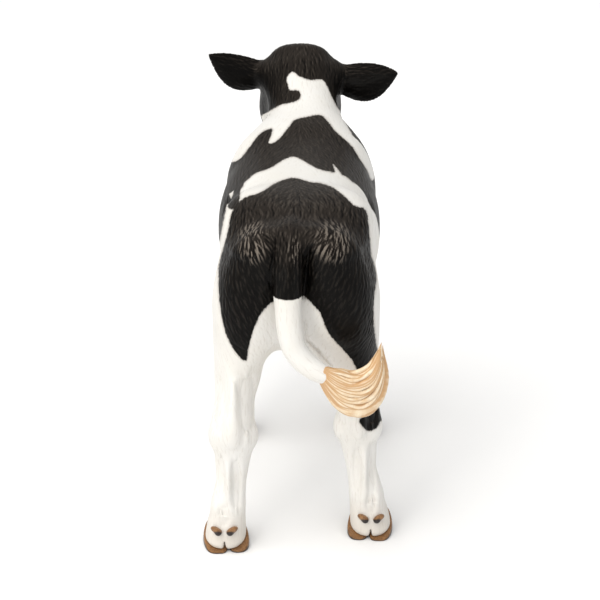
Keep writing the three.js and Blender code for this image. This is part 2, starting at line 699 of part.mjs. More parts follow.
addPart("tail_end", whole(tailFree.intersect(below(CUTS.dock))), "coat");
const tuft = sweep(SWITCH_PATH, [0, 1, 0], 9, 13);
addPart("tail_switch", whole(tuft.subtract(swollen(tail, GAP))), "hair");

export default part;
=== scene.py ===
"""A standing Holstein calf, as a life-size statue of painted resin.

Shapes are worked out in millimetres as [side, ahead, up]: to the calf's left from its middle,
forward from the left hind heel, and up from the floor. placed() turns them into the frame's metres.
The body is one smooth field, meshed as one skin, carved with strokes that follow the hair.
"""

import bpy
import numpy as np
import openvdb
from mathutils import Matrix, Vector


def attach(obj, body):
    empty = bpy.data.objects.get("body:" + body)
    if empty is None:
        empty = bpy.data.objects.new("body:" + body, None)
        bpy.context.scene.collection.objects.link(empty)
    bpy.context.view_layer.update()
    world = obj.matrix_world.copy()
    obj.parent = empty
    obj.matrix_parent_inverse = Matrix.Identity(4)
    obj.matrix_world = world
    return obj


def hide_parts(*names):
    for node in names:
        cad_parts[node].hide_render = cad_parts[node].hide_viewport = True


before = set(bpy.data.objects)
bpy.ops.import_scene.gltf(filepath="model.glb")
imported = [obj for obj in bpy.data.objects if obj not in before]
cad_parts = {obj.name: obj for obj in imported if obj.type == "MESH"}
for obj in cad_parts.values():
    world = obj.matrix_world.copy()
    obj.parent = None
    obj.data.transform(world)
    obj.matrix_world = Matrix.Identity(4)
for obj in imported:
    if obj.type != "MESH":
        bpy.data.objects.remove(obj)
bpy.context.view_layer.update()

MIDDLE = np.array([-2.2, 498.4, 0.0])  # the place, in millimetres, that the frame's origin stands for
PITCH = 2.4  # of the skin's mesh
FINE = 1.5  # of the claws, eyes and switch
FAR = 1000.0
SEED = 11

VIEWER = np.array([-57.24, -3200.0, 1850.0])  # the camera, which sees the outlines of the back
VIEW_TURN, VIEW_PITCH = 0.0157, np.radians(-21.287)
VIEW_DISTANCE = 3262.9  # of the plane that they are drawn on
LENS = 97.888

HIND = {"left": (140, 161, 0), "right": (-135, -166, 62)}  # hock, foot, step ahead
FORE = {"left": (122, 170, 606), "right": (-122, -152, 622)}  # elbow, foot, ahead
MID_FOOT = 40  # ahead of the heel
LEG_FILLET, HEAD_FILLET = 42, 34
HEAD_FROM, FEET_TO = 700, 110  # how far ahead the head can start, and how high the feet can reach
POLL = (6, 872, 943)
HEAD_TILT = -42
EYE_ALONG, EYE_OUT, EYE_BELOW, EYE_RADIUS = 126, 68, 50, 18
CORNEA_AHEAD, CORNEA_RADIUS, IRIS_RADIUS, PUPIL_WIDE, PUPIL_HIGH = 5.2, 13.6, 11.0, 6.4, 3.4
EAR_WIDTH, EAR_THICK, EAR_CUP, EAR_DROOP = 94, 7, 20, 15
CORONET_BACK, CORONET_SLOPE, CLEFT = 9, 0.40, 1.6
HORN_OVERLAP = 0.6  # of the skin and the horn, each way


# ---- fields
def rotated(degrees):
    turn = np.radians(degrees)
    return np.cos(turn), np.sin(turn)


def unit(v):
    return v / np.linalg.norm(v)


def view_axes():
    ahead = unit(np.array([VIEW_TURN, 1, 0]))
    forward = ahead * np.cos(VIEW_PITCH) + np.array([0, 0, np.sin(VIEW_PITCH)])
    left = unit(np.cross(forward, np.array([0, 0, 1.0])))
    return forward, left, np.cross(left, forward)


def from_behind(p):
    """Where points show on the plane: to the left of its middle and above it, in millimetres."""
    forward, left, over = view_axes()
    d = p - VIEWER
    scale = VIEW_DISTANCE / (d @ forward)
    return (d @ left) * scale, (d @ over) * scale


def profile(rows):
    """A smooth curve through rows of numbers, whose first is the place along the axis."""
    rows = np.array(rows, float)
    at = rows[:, 0]
    low = np.maximum(np.arange(len(at)) - 1, 0)
    high = np.minimum(np.arange(len(at)) + 1, len(at) - 1)
    slopes = (rows[high] - rows[low]) / (at[high] - at[low])[:, None]
    count = int(max(2 * (at[-1] - at[0]), 200)) + 1
    t = np.linspace(at[0], at[-1], count)
    i = np.clip(np.searchsorted(at, t, side="right") - 1, 0, len(at) - 2)
    span = (at[i + 1] - at[i])[:, None]
    s = (t - at[i])[:, None] / span
    curve = rows[i] * (2 * s**3 - 3 * s**2 + 1) + rows[i + 1] * (3 * s**2 - 2 * s**3)
    curve += span * (slopes[i] * (s**3 - 2 * s**2 + s) + slopes[i + 1] * (s**3 - s**2))
    table = np.ascontiguousarray(curve[:, 1:].T, np.float32)
    step = t[1] - t[0]

    def section(x):
        k = np.clip((x - t[0]) / step, 0, count - 1.001)
        j = k.astype(np.int32)
        f = (k - j).astype(np.float32)
        return [column[j] + (column[j + 1] - column[j]) * f for column in table]

    return section


def level(p):
    return p[:, 1], p[:, 0], p[:, 2]


def upright(p):
    return p[:, 2], p[:, 0], p[:, 1]


def tilted(origin, degrees):
    """Like the two above: a function that gives each point's place along an axis, across it and
    out from it. The axis starts at the origin and rises by this angle."""
    c, s = rotated(degrees)

    def local(p):
        ahead, up = p[:, 1] - origin[1], p[:, 2] - origin[2]
        return ahead * c + up * s, p[:, 0] - origin[0], up * c - ahead * s

    return local


def untilted(origin, degrees, across, along, out):
    c, s = rotated(degrees)
    return (origin[0] + across, origin[1] + along * c - out * s, origin[2] + along * s + out * c)


def loft(place, rows, cap):
    """A body along a straight axis. Each row is a section: where it is on the axis, its middle,
    its high side, the level where it is widest, its low side, half its width, and the powers
    of its high and low curves, where 2 is an ellipse. The ends are domes, `cap` long."""
    section = profile(rows)
    first, last = rows[0][0], rows[-1][0]

    def field(p):
        along, across, out = place(p)
        middle, high, wide, low, half, high_power, low_power = section(along)
        rise = out - wide
        reach = np.where(rise > 0, high - wide, wide - low)
        power = np.where(rise > 0, high_power, low_power)
        x = np.abs(across - middle) / half
        y = np.abs(rise) / reach
        ring = np.maximum((x**power + y**power) ** (1 / power), 1e-6)
        slope = np.hypot((x / ring) ** (power - 1) / half, (y / ring) ** (power - 1) / reach)
        past = np.maximum(np.maximum(first - along, along - last), 0) / cap
        size = np.hypot(ring, past)
        return (size - 1) / np.hypot(slope * ring / size, past / size / cap)

    return field


def lump(centre, radii, degrees=0.0):
    """An ellipsoid, turned about the side axis."""
    local = tilted(centre, degrees)

    def field(p):
        along, across, out = local(p)
        x, y, z = across / radii[0], along / radii[1], out / radii[2]
        size = np.maximum(np.sqrt(x * x + y * y + z * z), 1e-4)
        return size * (size - 1) / np.sqrt((x / radii[0]) ** 2 + (y / radii[1]) ** 2 + (z / radii[2]) ** 2)

    return field


def blend(a, b, soft):
    """Two bodies joined, with a fillet `soft` wide."""
    h = np.maximum(soft - np.abs(a - b), 0) / soft
    return np.minimum(a, b) - h * h * soft / 4


def carve(a, b, soft):
    """The first body without the second, with the edge rounded."""
    return -blend(-a, b, soft)


def least(a, b, soft):
    """What two bodies share, with the edge rounded."""
    return -blend(-a, -b, soft)


def line_from_behind(spots, width):
    """Everything within `width` of a line drawn on the plane, as seen by the viewer."""
    spots = np.array(spots, float)

    def field(p):
        at = np.stack(from_behind(p), 1)
        away = np.full(len(p), FAR)
        for a, b in zip(spots, spots[1:]):
            t = np.clip((at - a) @ (b - a) / ((b - a) @ (b - a)), 0, 1)
            away = np.minimum(away, np.linalg.norm(at - a - t[:, None] * (b - a), axis=1))
        return away - width

    return field


class Clay:
    """A body that is pressed on to another or, where `deep` is given, cut from it, at most that
    deep. It is only looked at inside its box."""

    def __init__(self, field, centre, reach, soft, deep=None):
        self.field, self.soft, self.deep = field, soft, deep
        room = np.array(reach, np.float32) + soft + 12
        self.low, self.high = np.array(centre, np.float32) - room, np.array(centre, np.float32) + room

    def holds(self, p):
        """Which points are in the box, or None if none can be."""
        if (p.min(0) > self.high).any() or (p.max(0) < self.low).any():
            return None
        inside = np.ones(len(p), bool)
        for n in range(3):
            inside &= (p[:, n] > self.low[n]) & (p[:, n] < self.high[n])
        return inside if inside.any() else None

    def work(self, d, p):
        inside = self.holds(p)
        if inside is None:
            return
        was = d[inside]
        tool = self.field(p[inside])
        if self.deep is None:
            d[inside] = blend(was, tool, self.soft)
        else:
            d[inside] = carve(was, np.maximum(tool, -was - self.deep), self.soft)


def ball_of_clay(centre, radii, soft, degrees=0.0, deep=None):
    return Clay(lump(centre, radii, degrees), centre, (max(radii),) * 3, soft, deep)


def on_both(side, ahead, up, radii, soft, degrees=0.0, deep=None):
    """The same lump on the left and the right."""
    one = lump((side, ahead, up), radii, degrees)

    def field(p):
        return one(np.column_stack([np.abs(p[:, 0]), p[:, 1], p[:, 2]]))

    return Clay(field, (0, ahead, up), (side + max(radii), max(radii), max(radii)), soft, deep)


def on_head(across, along, out, radii, soft, degrees=0.0, deep=None):
    """Lumps placed in the head's own terms: across it, along the face and out from it. There is
    one on each side, or only one in the middle."""
    for k in (1, -1) if across else (1,):
        centre = untilted(POLL, HEAD_TILT, k * across, along, out)
        yield ball_of_clay(centre, radii, soft, HEAD_TILT + degrees, deep)


# ---- trunk, neck and legs
barrel = loft(level, [
    [20, 0, 756, 650, 500, 122, 2.8, 2.2],
    [95, 0, 782, 650, 470, 142, 2.9, 2.2],
    [165, 0, 791, 655, 440, 151, 3, 2.2],
    [255, 0, 789, 630, 418, 156, 2.6, 2.2],
    [350, 1, 790, 610, 400, 176, 2.5, 2.2],
    [445, 2, 793, 605, 386, 190, 2.4, 2.2],
    [535, 2, 802, 605, 384, 184, 2.5, 2.2],
    [620, 0, 820, 610, 392, 170, 2.6, 2.2],
    [695, -3, 816, 612, 416, 154, 2.6, 2.1],
    [750, -2, 792, 606, 462, 130, 2.4, 2],
], 36)

NECK = (-4, 640, 700)
neck = loft(tilted(NECK, 41), [
    [0, 3, 105, -20, -150, 133, 2.2, 2],
    [70, -1, 84, -15, -136, 114, 2.2, 2],
    [140, -4, 72, -12, -108, 90, 2.1, 2],
    [205, 2, 66, -10, -94, 82, 2, 2],
    [262, 6, 54, -10, -86, 80, 2, 2],
], 40)

TRUNK = [
    on_both(100, 160, 726, (52, 76, 46), 60),  # hook bones
    on_both(62, 2, 700, (46, 50, 48), 50),  # pin bones
    on_both(146, 232, 522, (38, 75, 90), 50, -20),  # flank fold
    on_both(108, 650, 610, (60, 88, 150), 60, 18),  # shoulders
    ball_of_clay((0, 722, 510), (86, 62, 112), 60, 14),  # brisket
    ball_of_clay((0, 165, 478), (86, 96, 50), 34),  # groin
    ball_of_clay((-26, 92, 486), (42, 70, 46), 30),  # inner thigh
    ball_of_clay((-37, 66, 461), (30, 44, 25), 10, 8),  # and the fold of skin below it
    ball_of_clay((-62, 74, 446), (34, 40, 34), 16),
    Clay(neck, (0, 740, 760), (170, 230, 240), 55),
]


# Rows: up, the share of the way from the foot to the joint, more to the outside, front, widest
# level, back, half width, powers.
HIND_ROWS = [
    [24, 0, 0, 88, 44, -17, 46, 2.4, 2.4],
    [52, 0.1, 0, 79, 40, -13, 43, 2.4, 2.4],
    [80, 0.25, 0, 73, 34, -9, 40, 2.3, 2.2],
    [106, 0.35, 0, 69, 30, -11, 39, 2.2, 2.2],
    [132, 0.5, 0, 65, 31, -5, 36, 2.1, 2.2],
    [166, 0.72, 0, 63, 32, 0, 34, 2.1, 2.2],
    [206, 0.86, 0, 66, 32, -4, 38, 2.1, 2.2],
    [246, 1, 0, 70, 30, -14, 44, 2.2, 2.2],
    [286, 1, 0, 78, 24, -27, 50, 2.2, 2.1],
    [318, 1, -2, 90, 26, -27, 49, 2.2, 2],
    [352, 1, -5, 112, 40, -16, 46, 2.1, 2],
    [392, 1, -9, 142, 62, -6, 50, 2, 2],
    [432, 1, -14, 170, 82, -4, 56, 2, 2],
    [476, 1, -26, 196, 92, -14, 70, 2, 2.1],
    [525, 1, -31, 212, 92, -32, 75, 2, 2.2],
    [582, 1, -34, 220, 88, -44, 77, 2, 2.2],
    [645, 1, -41, 226, 90, -42, 72, 2, 2.2],
    [700, 1, -53, 215, 92, -18, 58, 2, 2.2],
]
FORE_ROWS = [
    [24, 0, 0, 46, 2, -40, 44, 2.4, 2.4],
    [52, 0, 0, 38, -2, -42, 41, 2.4, 2.4],
    [80, 0, -1, 30, -8, -46, 39, 2.3, 2.2],
    [106, 0, -2, 24, -14, -50, 38, 2.2, 2.2],
    [136, 0, -4, 18, -14, -44, 33, 2.1, 2.2],
    [175, 0, -8, 17, -14, -43, 33, 2.1, 2.2],
    [212, 0, -12, 24, -10, -44, 38, 2.2, 2.2],
    [244, 0, -15, 30, -6, -44, 42, 2.3, 2.2],
    [276, 0.45, 0, 27, -8, -46, 41, 2.2, 2.2],
    [316, 0.62, 0, 32, -10, -54, 43, 2, 2],
    [366, 0.8, 0, 44, -12, -68, 48, 2, 2],
    [420, 1, 2, 58, -12, -84, 54, 2, 2],
    [475, 1, -4, 70, -8, -90, 58, 2, 2],
]


def leg(rows, joint, foot, shift, cap, middle, reach):
    """A leg from its foot to above its hock or elbow, set ahead by `shift` at each height."""
    to_side = np.sign(foot)
    low, high = abs(foot), abs(joint)
    placed_rows = []
    for up, share, more, *section in rows:
        section[:3] = [v + shift(up) for v in section[:3]]
        placed_rows.append([up, to_side * (low + share * (high - low) + more), *section])
    return Clay(loft(upright, placed_rows, cap), (to_side * 140, *middle), reach, LEG_FILLET)


def hind_leg(hock, foot, step):
    def shift(up):
        return step * min(max((640 - up) / 400, 0), 1)

    return leg(HIND_ROWS, hock, foot, shift, 30, (90 + step / 2, 365), (110, 210, 400))


def fore_leg(elbow, foot, ahead):
    return leg(FORE_ROWS, elbow, foot, lambda up: ahead, 40, (ahead, 250), (110, 130, 300))


LEGS = [hind_leg(*spec) for spec in HIND.values()] + [fore_leg(*spec) for spec in FORE.values()]

# What the plain body lacks: hollows, tendons, joints and creases.
DETAILS = [
    on_both(178, 300, 690, (26, 62, 48), 30, deep=8),  # hungry groove
    on_both(196, 250, 560, (22, 20, 80), 30, 30, deep=5),  # behind the flank fold
    on_both(150, 560, 540, (36, 24, 90), 60, 20, deep=2.5),  # behind the shoulder
    on_both(150, 700, 640, (34, 16, 70), 24, -24, deep=6),  # before the shoulder
    on_both(96, 770, 690, (20, 60, 20), 24, 41, deep=5),  # groove of the neck
    ball_of_clay((0, 330, 398), (13, 30, 14), 20),  # navel
]
# Creases of the right inner thigh, and beside the root of the tail: spots on the plane, width, the
# middle and reach of the box, how soft and how deep.
CREASES = [
    ([(-9, -44), (-14, -78), (-34, -98), (-64, -130)], 1.5, (-42, 75, 510), (52, 80, 70), 7, 4),
    ([(-17, 128), (-17, 90), (-14, 50), (-8, 8)], 3, (-6, 0, 690), (30, 70, 90), 12, 7),
    ([(50, 122), (52, 64), (50, 6)], 2, (54, 0, 680), (26, 70, 80), 13, 5),
]


def hind_details(hock, foot, step):
    k = np.sign(hock)
    ahead = step * 0.75
    cannon = (hock + foot) / 2
    return [
        ball_of_clay((hock - k * 4, ahead - 12, 352), (12, 16, 62), 12, -6),  # tendon to the hock
        ball_of_clay((hock, ahead - 20, 300), (17, 14, 34), 14),  # point of the hock
        ball_of_clay((hock + k * 29, ahead + 8, 356), (9, 24, 52), 24, -8, deep=4),
        ball_of_clay((hock - k * 33, ahead + 14, 356), (9, 26, 54), 30, -8, deep=2),
        ball_of_clay((hock + k * 33, ahead + 30, 268), (18, 24, 22), 20),  # side knobs of the hock
        ball_of_clay((hock - k * 34, ahead + 30, 270), (18, 24, 22), 20),
        ball_of_clay((cannon, step - 2, 176), (8, 12, 56), 12),  # flexor tendon
        ball_of_clay((cannon + k * 17, step + 2, 170), (5, 12, 54), 15, deep=2.5),
        ball_of_clay((cannon - k * 17, step + 2, 170), (5, 12, 54), 15, deep=2.5),
        ball_of_clay((foot, step - 10, 92), (8, 10, 22), 14, deep=1.5),  # between the sesamoids
    ]


def fore_details(elbow, foot, ahead):
    k = np.sign(foot)
    knee = foot - k * 15
    return [
        ball_of_clay((knee, ahead + 24, 262), (22, 14, 16), 14),  # knee cap
        ball_of_clay((knee, ahead - 44, 238), (15, 14, 18), 14),  # bone behind the knee
        ball_of_clay((elbow + k * 18, ahead - 74, 432), (24, 26, 30), 24),  # point of the elbow
        ball_of_clay((foot - k * 6, ahead - 42, 158), (8, 12, 50), 12),
        ball_of_clay((foot + k * 11, ahead - 38, 156), (4, 12, 46), 8, deep=4),
        ball_of_clay((foot - k * 22, ahead - 38, 156), (4, 12, 46), 8, deep=4),
        ball_of_clay((foot, ahead - 48, 92), (6, 10, 22), 8, deep=3),
    ]


for line, line_width, *box_and_cut in CREASES:
    DETAILS.append(Clay(line_from_behind(line, line_width), *box_and_cut))
for spec in HIND.values():
    DETAILS += hind_details(*spec)
for spec in FORE.values():
    DETAILS += fore_details(*spec)

# ---- head
face = loft(tilted(POLL, HEAD_TILT), [
    [22, 0, -10, -62, -150, 82, 2.2, 2],
    [64, 0, 2, -60, -178, 84, 2.4, 2],
    [104, 0, 4, -62, -184, 80, 2.5, 2],
    [140, 0, -3, -66, -174, 73, 2.5, 2],
    [180, 0, -12, -70, -154, 65, 2.5, 2],
    [220, 0, -16, -70, -134, 58, 2.5, 2],
    [262, 0, -16, -68, -122, 57, 2.5, 2.1],
    [298, 0, -20, -66, -114, 58, 2.5, 2.2],
], 24)

# Rows: across, along and out, radii, how soft, degrees and, for what is cut, how deep.
HEAD_CLAY = [
    (0, 34, -60, (92, 80, 74), 40),  # skull
    (54, 112, -110, (50, 72, 62), 40, -8),  # cheeks
    (60, 110, -28, (28, 38, 26), 22, 6),  # brows
    (24, 10, -18, (42, 38, 26), 24),  # crown
    (86, 28, -56, (34, 30, 30), 26),  # roots of the ears
    (0, 304, -56, (52, 26, 38), 16),  # nose pad
    (30, 280, -88, (31, 46, 28), 18, 6),  # lips
    (0, 272, -116, (34, 36, 20), 20, 6),  # chin
    (EYE_OUT, EYE_ALONG, -EYE_BELOW, (22.5, 30, 21), 9, 20),  # lids
    (62, 170, -74, (20, 40, 9), 16, -14),  # crest under the eye
    (66, 204, -46, (14, 40, 16), 20, -6, 4),  # side of the nose
    (EYE_OUT + 17, EYE_ALONG, -EYE_BELOW, (14, 15.5, 9.6), 2.5, 20, FAR),
    (82, EYE_ALONG - 6, -28, (16, 22, 2.4), 5, 22, 2.5),  # fold over the lid
    (80, EYE_ALONG + 4, -74, (16, 20, 2.0), 5, 26, 1.6),  # and under it
    (44, 312, -60, (10, 15, 15), 10),  # wings of the nostrils
    (31, 326, -50, (7.5, 17, 12), 4, 16, FAR),  # nostrils
    (41, 324, -36, (10, 12, 4), 4, 10, 7),
    (0, 330, -66, (2.4, 14, 22), 4, 0, 2.5),  # groove of the upper lip
    (0, 262, -106, (90, 66, 2.2), 4, 5, 5),  # mouth
    (58, 96, -156, (22, 60, 14), 20, 16, 4),  # under the cheek
]
HEAD = [clay for row in HEAD_CLAY for clay in on_head(*row)]

# ---- ears
EARS = {
    "left": ((92, 868, 874), (234, 815, 942), 1, 0.86),
    "right": ((-80, 866, 868), (-239, 815, 897), -1, 1.12),
}
EAR_SHAPE = profile([
    [0, 0.6, 1],
    [0.16, 0.85, 1],
    [0.4, 1, 0.9],
    [0.64, 0.88, 0.6],
    [0.86, 0.48, 0.3],
    [1, 0.06, 0.05],
])
EAR_ROUND = 2.4


def ear_axes(root, tip, to_side):
    """Along the ear, out of its hollow side, and up its width."""
    along = unit(np.subtract(tip, root).astype(float))
    front = np.array([to_side * 0.25, 1, -0.1])
    front = unit(front - along * front.dot(along))
    return along, front, -to_side * np.cross(front, along)


def ear(root, tip, to_side, full):
    """A leaf, cupped about its length, that grows from the side of the head."""
    along, front, rise = ear_axes(root, tip, to_side)
    length = np.linalg.norm(np.subtract(tip, root))

    def field(p):
        q = p - np.float32(root)
        t = q @ along / length
        leaf, cup = EAR_SHAPE(t)
        half = leaf * (1 + (full - 1) * np.clip(t, 0, 1)) * EAR_WIDTH / 2
        droop = -EAR_DROOP * np.sin(np.pi * np.clip(t, 0, 1))
        v = (q @ rise - droop) / half
        curl = np.minimum(v * v, 1.4)
        h = q @ front + EAR_CUP * cup * (1 - curl)
        thick = EAR_THICK * (1 - 0.5 * np.minimum(v * v, 1)) / 2 * (1.3 - 0.5 * np.clip(t, 0, 1))
        sides = [np.abs(h) - thick, (np.abs(v) - 1) * half, (t - 1) * length, -0.1 * length - t * length]
        out = sum(np.maximum(s + EAR_ROUND, 0) ** 2 for s in sides) ** 0.5
        return out - EAR_ROUND + np.minimum(np.maximum.reduce(sides) + EAR_ROUND, 0)

    middle = (np.array(root) + tip) / 2
    return Clay(field, middle, (110, 60, 80), 12)


# ---- tail
TAIL_PATH = [
    [8, 100, 728, 26, 24],
    [9, 58, 740, 29, 26],
    [13, 20, 738, 32, 30],
    [16, -12, 719, 34, 31],
    [18, -33, 688, 34, 31],
    [18, -44, 650, 32, 29],
    [17, -50, 600, 29, 27],
    [13, -57, 556, 28, 26],
    [4, -62, 520, 27, 25],
    [-16, -67, 492, 26, 24],
    [-40, -72, 474, 24, 22],
    [-56, -75, 466, 21, 19],
]


def sampled(rows, count):
    """Points along a path, with their radii: an array of rows like those given."""
    section = profile([[i, *row] for i, row in enumerate(rows)])
    return np.array(section(np.linspace(0, len(rows) - 1, count))).T


NO_TUBE = 60.0  # the distance given where no tube is near


def tubes(lines):
    """The field of round tubes. A line's rows are points with a radius. With `where`, it also
    gives the place along the nearest line, which line that is, and the way to the next one."""
    a = np.concatenate([line[:-1] for line in lines]).astype(np.float32)
    b = np.concatenate([line[1:] for line in lines]).astype(np.float32)
    place = np.concatenate([np.arange(len(line) - 1) for line in lines])
    owner = np.concatenate([np.full(len(line) - 1, k) for k, line in enumerate(lines)])

    def field(p, where=False):
        room = a[:, 3].max() + 14
        low, high = p.min(0) - room, p.max(0) + room
        ends = np.minimum(a, b)[:, :3] < high, np.maximum(a, b)[:, :3] > low
        best = np.full(len(p), NO_TUBE, np.float32)
        second = best.copy()
        at, line = np.zeros(len(p), np.float32), np.zeros(len(p), int)
        for k in np.flatnonzero((ends[0] & ends[1]).all(axis=1)):
            d = b[k] - a[k]
            q = p - a[k, :3]
            t = np.clip(q @ d[:3] / max(float(d[:3] @ d[:3]), 1e-6), 0, 1)
            away = np.linalg.norm(q - t[:, None] * d[:3], axis=1) - (a[k, 3] + d[3] * t)
            closer = away < best
            if where:
                other = line != owner[k]
                second = np.where(closer & other, best, np.where(other & (away < second), away, second))
                at[closer] = place[k] + t[closer]
                line[closer] = owner[k]
            best[closer] = away[closer]
        return (best, at, line, second) if where else best

    return field


tail_line = sampled(TAIL_PATH, 60).astype(np.float32)
tail_line[:, 3] = tail_line[:, 3:].mean(1)
tail_line = tail_line[:, :4]
tail_tube = tubes([tail_line])
TAIL = Clay(tail_tube, (-30, 0, 610), (80, 120, 190), 9)
DOCK = on_both(24, 22, 722, (24, 40, 26), 30, -24)  # fills the corners beside the root of the tail
FLESH_EARS = [ear(*spec) for spec in EARS.values()]


# ---- the whole body
def coronet(p, heel):
    """How far points are above the top edge of the claws, which rises towards the toe."""
    return p[:, 2] - CORONET_BACK - CORONET_SLOPE * (p[:, 1] - heel)


def feet():
    """Each foot as its name, place, heel and how far it turns out."""
    for side, (_, foot, step) in HIND.items():
        yield f"hind_{side}", foot, step, 0.19 if side == "left" else -0.12
    for side, (_, foot, ahead) in FORE.items():
        yield f"fore_{side}", foot, ahead - 46, np.sign(foot) * 0.06


def body(p):
    d = barrel(p)
    for clay in TRUNK:
        clay.work(d, p)
    limbs = np.full(len(p), FAR, np.float32)
    for leg in LEGS:
        inside = leg.holds(p)
        if inside is not None:
            limbs[inside] = np.minimum(limbs[inside], leg.field(p[inside]))
    d = blend(d, limbs, LEG_FILLET)
    for clay in DETAILS:
        clay.work(d, p)
    front = p[:, 1] > HEAD_FROM
    if front.any():
        q = p[front]
        h = face(q)
        for clay in HEAD:
            clay.work(h, q)
        d[front] = blend(d[front], h, HEAD_FILLET)
    for clay in FLESH_EARS:
        clay.work(d, p)
    TAIL.work(d, p)
    DOCK.work(d, p)
    low = p[:, 2] < FEET_TO
    if low.any():
        d[low] = trimmed(d[low], p[low])
    return d


def trimmed(d, p):
    """The feet, cut off along the tops of the claws, with the cleft between the heels."""
    for _, foot, heel, _ in feet():
        mine = (np.abs(p[:, 0] - foot) < 90) & (np.abs(p[:, 1] - heel - MID_FOOT) < 120)
        q = p[mine]
        split = lump((foot, heel - 6, 14), (2.5, 10, 18))(q)
        cut = carve(d[mine], split, 8)
        d[mine] = -blend(-cut, coronet(q, heel) - HORN_OVERLAP, 3)
    return d


# ---- meshes
LEAF = 8  # points along each side of a block
BAND = 3  # how far from the surface the field is kept, in points
HALF_DIAGONAL = 0.87  # of a block with sides of 1


def lattice(*counts):
    return np.stack(np.meshgrid(*map(np.arange, counts), indexing="ij"), -1).reshape(-1, len(counts))


def asked(field, p, batch):
    """The field at each point, asked for one batch at a time."""
    return np.concatenate([field(p[i : i + batch]) for i in range(0, len(p), batch)])


def surface(field, low, high, pitch):
    """The surface of a field in a box: its vertices and its quads. The field is first asked
    at the middle of each block of points, and only the blocks near the surface are filled."""
    low, high = np.array(low, float), np.array(high, float)
    block = LEAF * pitch
    counts = np.ceil((high - low) / block).astype(int)
    blocks = lattice(*counts)
    middles = (low + (blocks + 0.5) * block).astype(np.float32)
    reach = block * HALF_DIAGONAL * 1.25 + 4  # with room, as the fields aren't exact distances
    groups = blocks // 4
    order = np.lexsort((groups[:, 2], groups[:, 1], groups[:, 0]))
    blocks, middles = blocks[order], middles[order]
    blocks = blocks[np.abs(asked(field, middles, 4096)) < reach]
    grid = openvdb.FloatGrid(BAND * pitch)
    grid.gridClass = openvdb.GridClass.LEVEL_SET
    corner = lattice(LEAF, LEAF, LEAF)
    batch = 48
    for start in range(0, len(blocks), batch):
        chosen = blocks[start : start + batch]
        at = (chosen[:, None, :] * LEAF + corner).reshape(-1, 3)
        values = field((low + at * pitch).astype(np.float32))
        values = np.clip(values, -BAND * pitch, BAND * pitch).reshape(-1, LEAF, LEAF, LEAF)
        for block_at, value in zip(chosen, values):
            grid.copyFromArray(value.astype(np.float32), ijk=tuple(int(v) * LEAF for v in block_at))
    grid.signedFloodFill()
    points, _, quads = grid.convertToPolygons(isovalue=0.0, adaptivity=0.0)
    return low + points * pitch, quads[:, ::-1].astype(np.int32)


def slope(field, p, reach=0.6):
    """The field and its gradient at each point."""
    p = p.astype(np.float32)
    batch = 20000
    d = asked(field, p, batch)
    gradient = np.zeros(p.shape)
    for n in range(3):
        step = np.zeros(3, np.float32)
        step[n] = reach
        gradient[:, n] = (asked(field, p + step, batch) - d) / reach
    return d, gradient


def settled(field, p, most):
    """Points moved on to the surface, with their normals."""
    d, gradient = slope(field, p)
    steep = np.maximum((gradient**2).sum(1), 0.04)
    p = p - gradient * np.clip(d / steep, -most, most)[:, None]
    return p, gradient / np.maximum(np.linalg.norm(gradient, axis=1), 1e-6)[:, None]


def placed(p):
    """Millimetres as [side, ahead, up] in the frame's metres."""
    q = (p - MIDDLE) / 1000
    q[:, 1] *= -1
    return q


def scene_object(name, data):
    item = bpy.data.objects.new(name, data)
    bpy.context.scene.collection.objects.link(item)
    return item


def mesh_object(name, points, quads, material, **attributes):
    """A smooth mesh object, with a number for each vertex in each attribute."""
    mesh = bpy.data.meshes.new(name)
    mesh.vertices.add(len(points))
    mesh.vertices.foreach_set("co", placed(points).astype(np.float32).ravel())
    mesh.loops.add(quads.size)
    mesh.loops.foreach_set("vertex_index", quads[:, ::-1].astype(np.int32).ravel())
    mesh.polygons.add(len(quads))
    mesh.polygons.foreach_set("loop_start", np.arange(0, quads.size, quads.shape[1], dtype=np.int32))
    mesh.update(calc_edges=True)
    mesh.validate()
    mesh.polygons.foreach_set("use_smooth", np.ones(len(mesh.polygons), bool))
    for key, values in attributes.items():
        layer = mesh.attributes.new(key, "FLOAT", "POINT")
        layer.data.foreach_set("value", values.astype(np.float32))
    mesh.materials.append(material)
    return scene_object(name, mesh)


# ---- carved hair
def ramp(x, low, high):
    """From 0 at `low` to 1 at `high`, smoothly."""
    t = np.clip((x - low) / (high - low), 0, 1)
    return t * t * (3 - 2 * t)


def mixed(a, b, share):
    """Directions a, turned towards directions b by a share for each point."""
    return (1 - share)[:, None] * a + share[:, None] * b


def directions(*rows):
    return np.array(np.broadcast_arrays(*rows), float).T


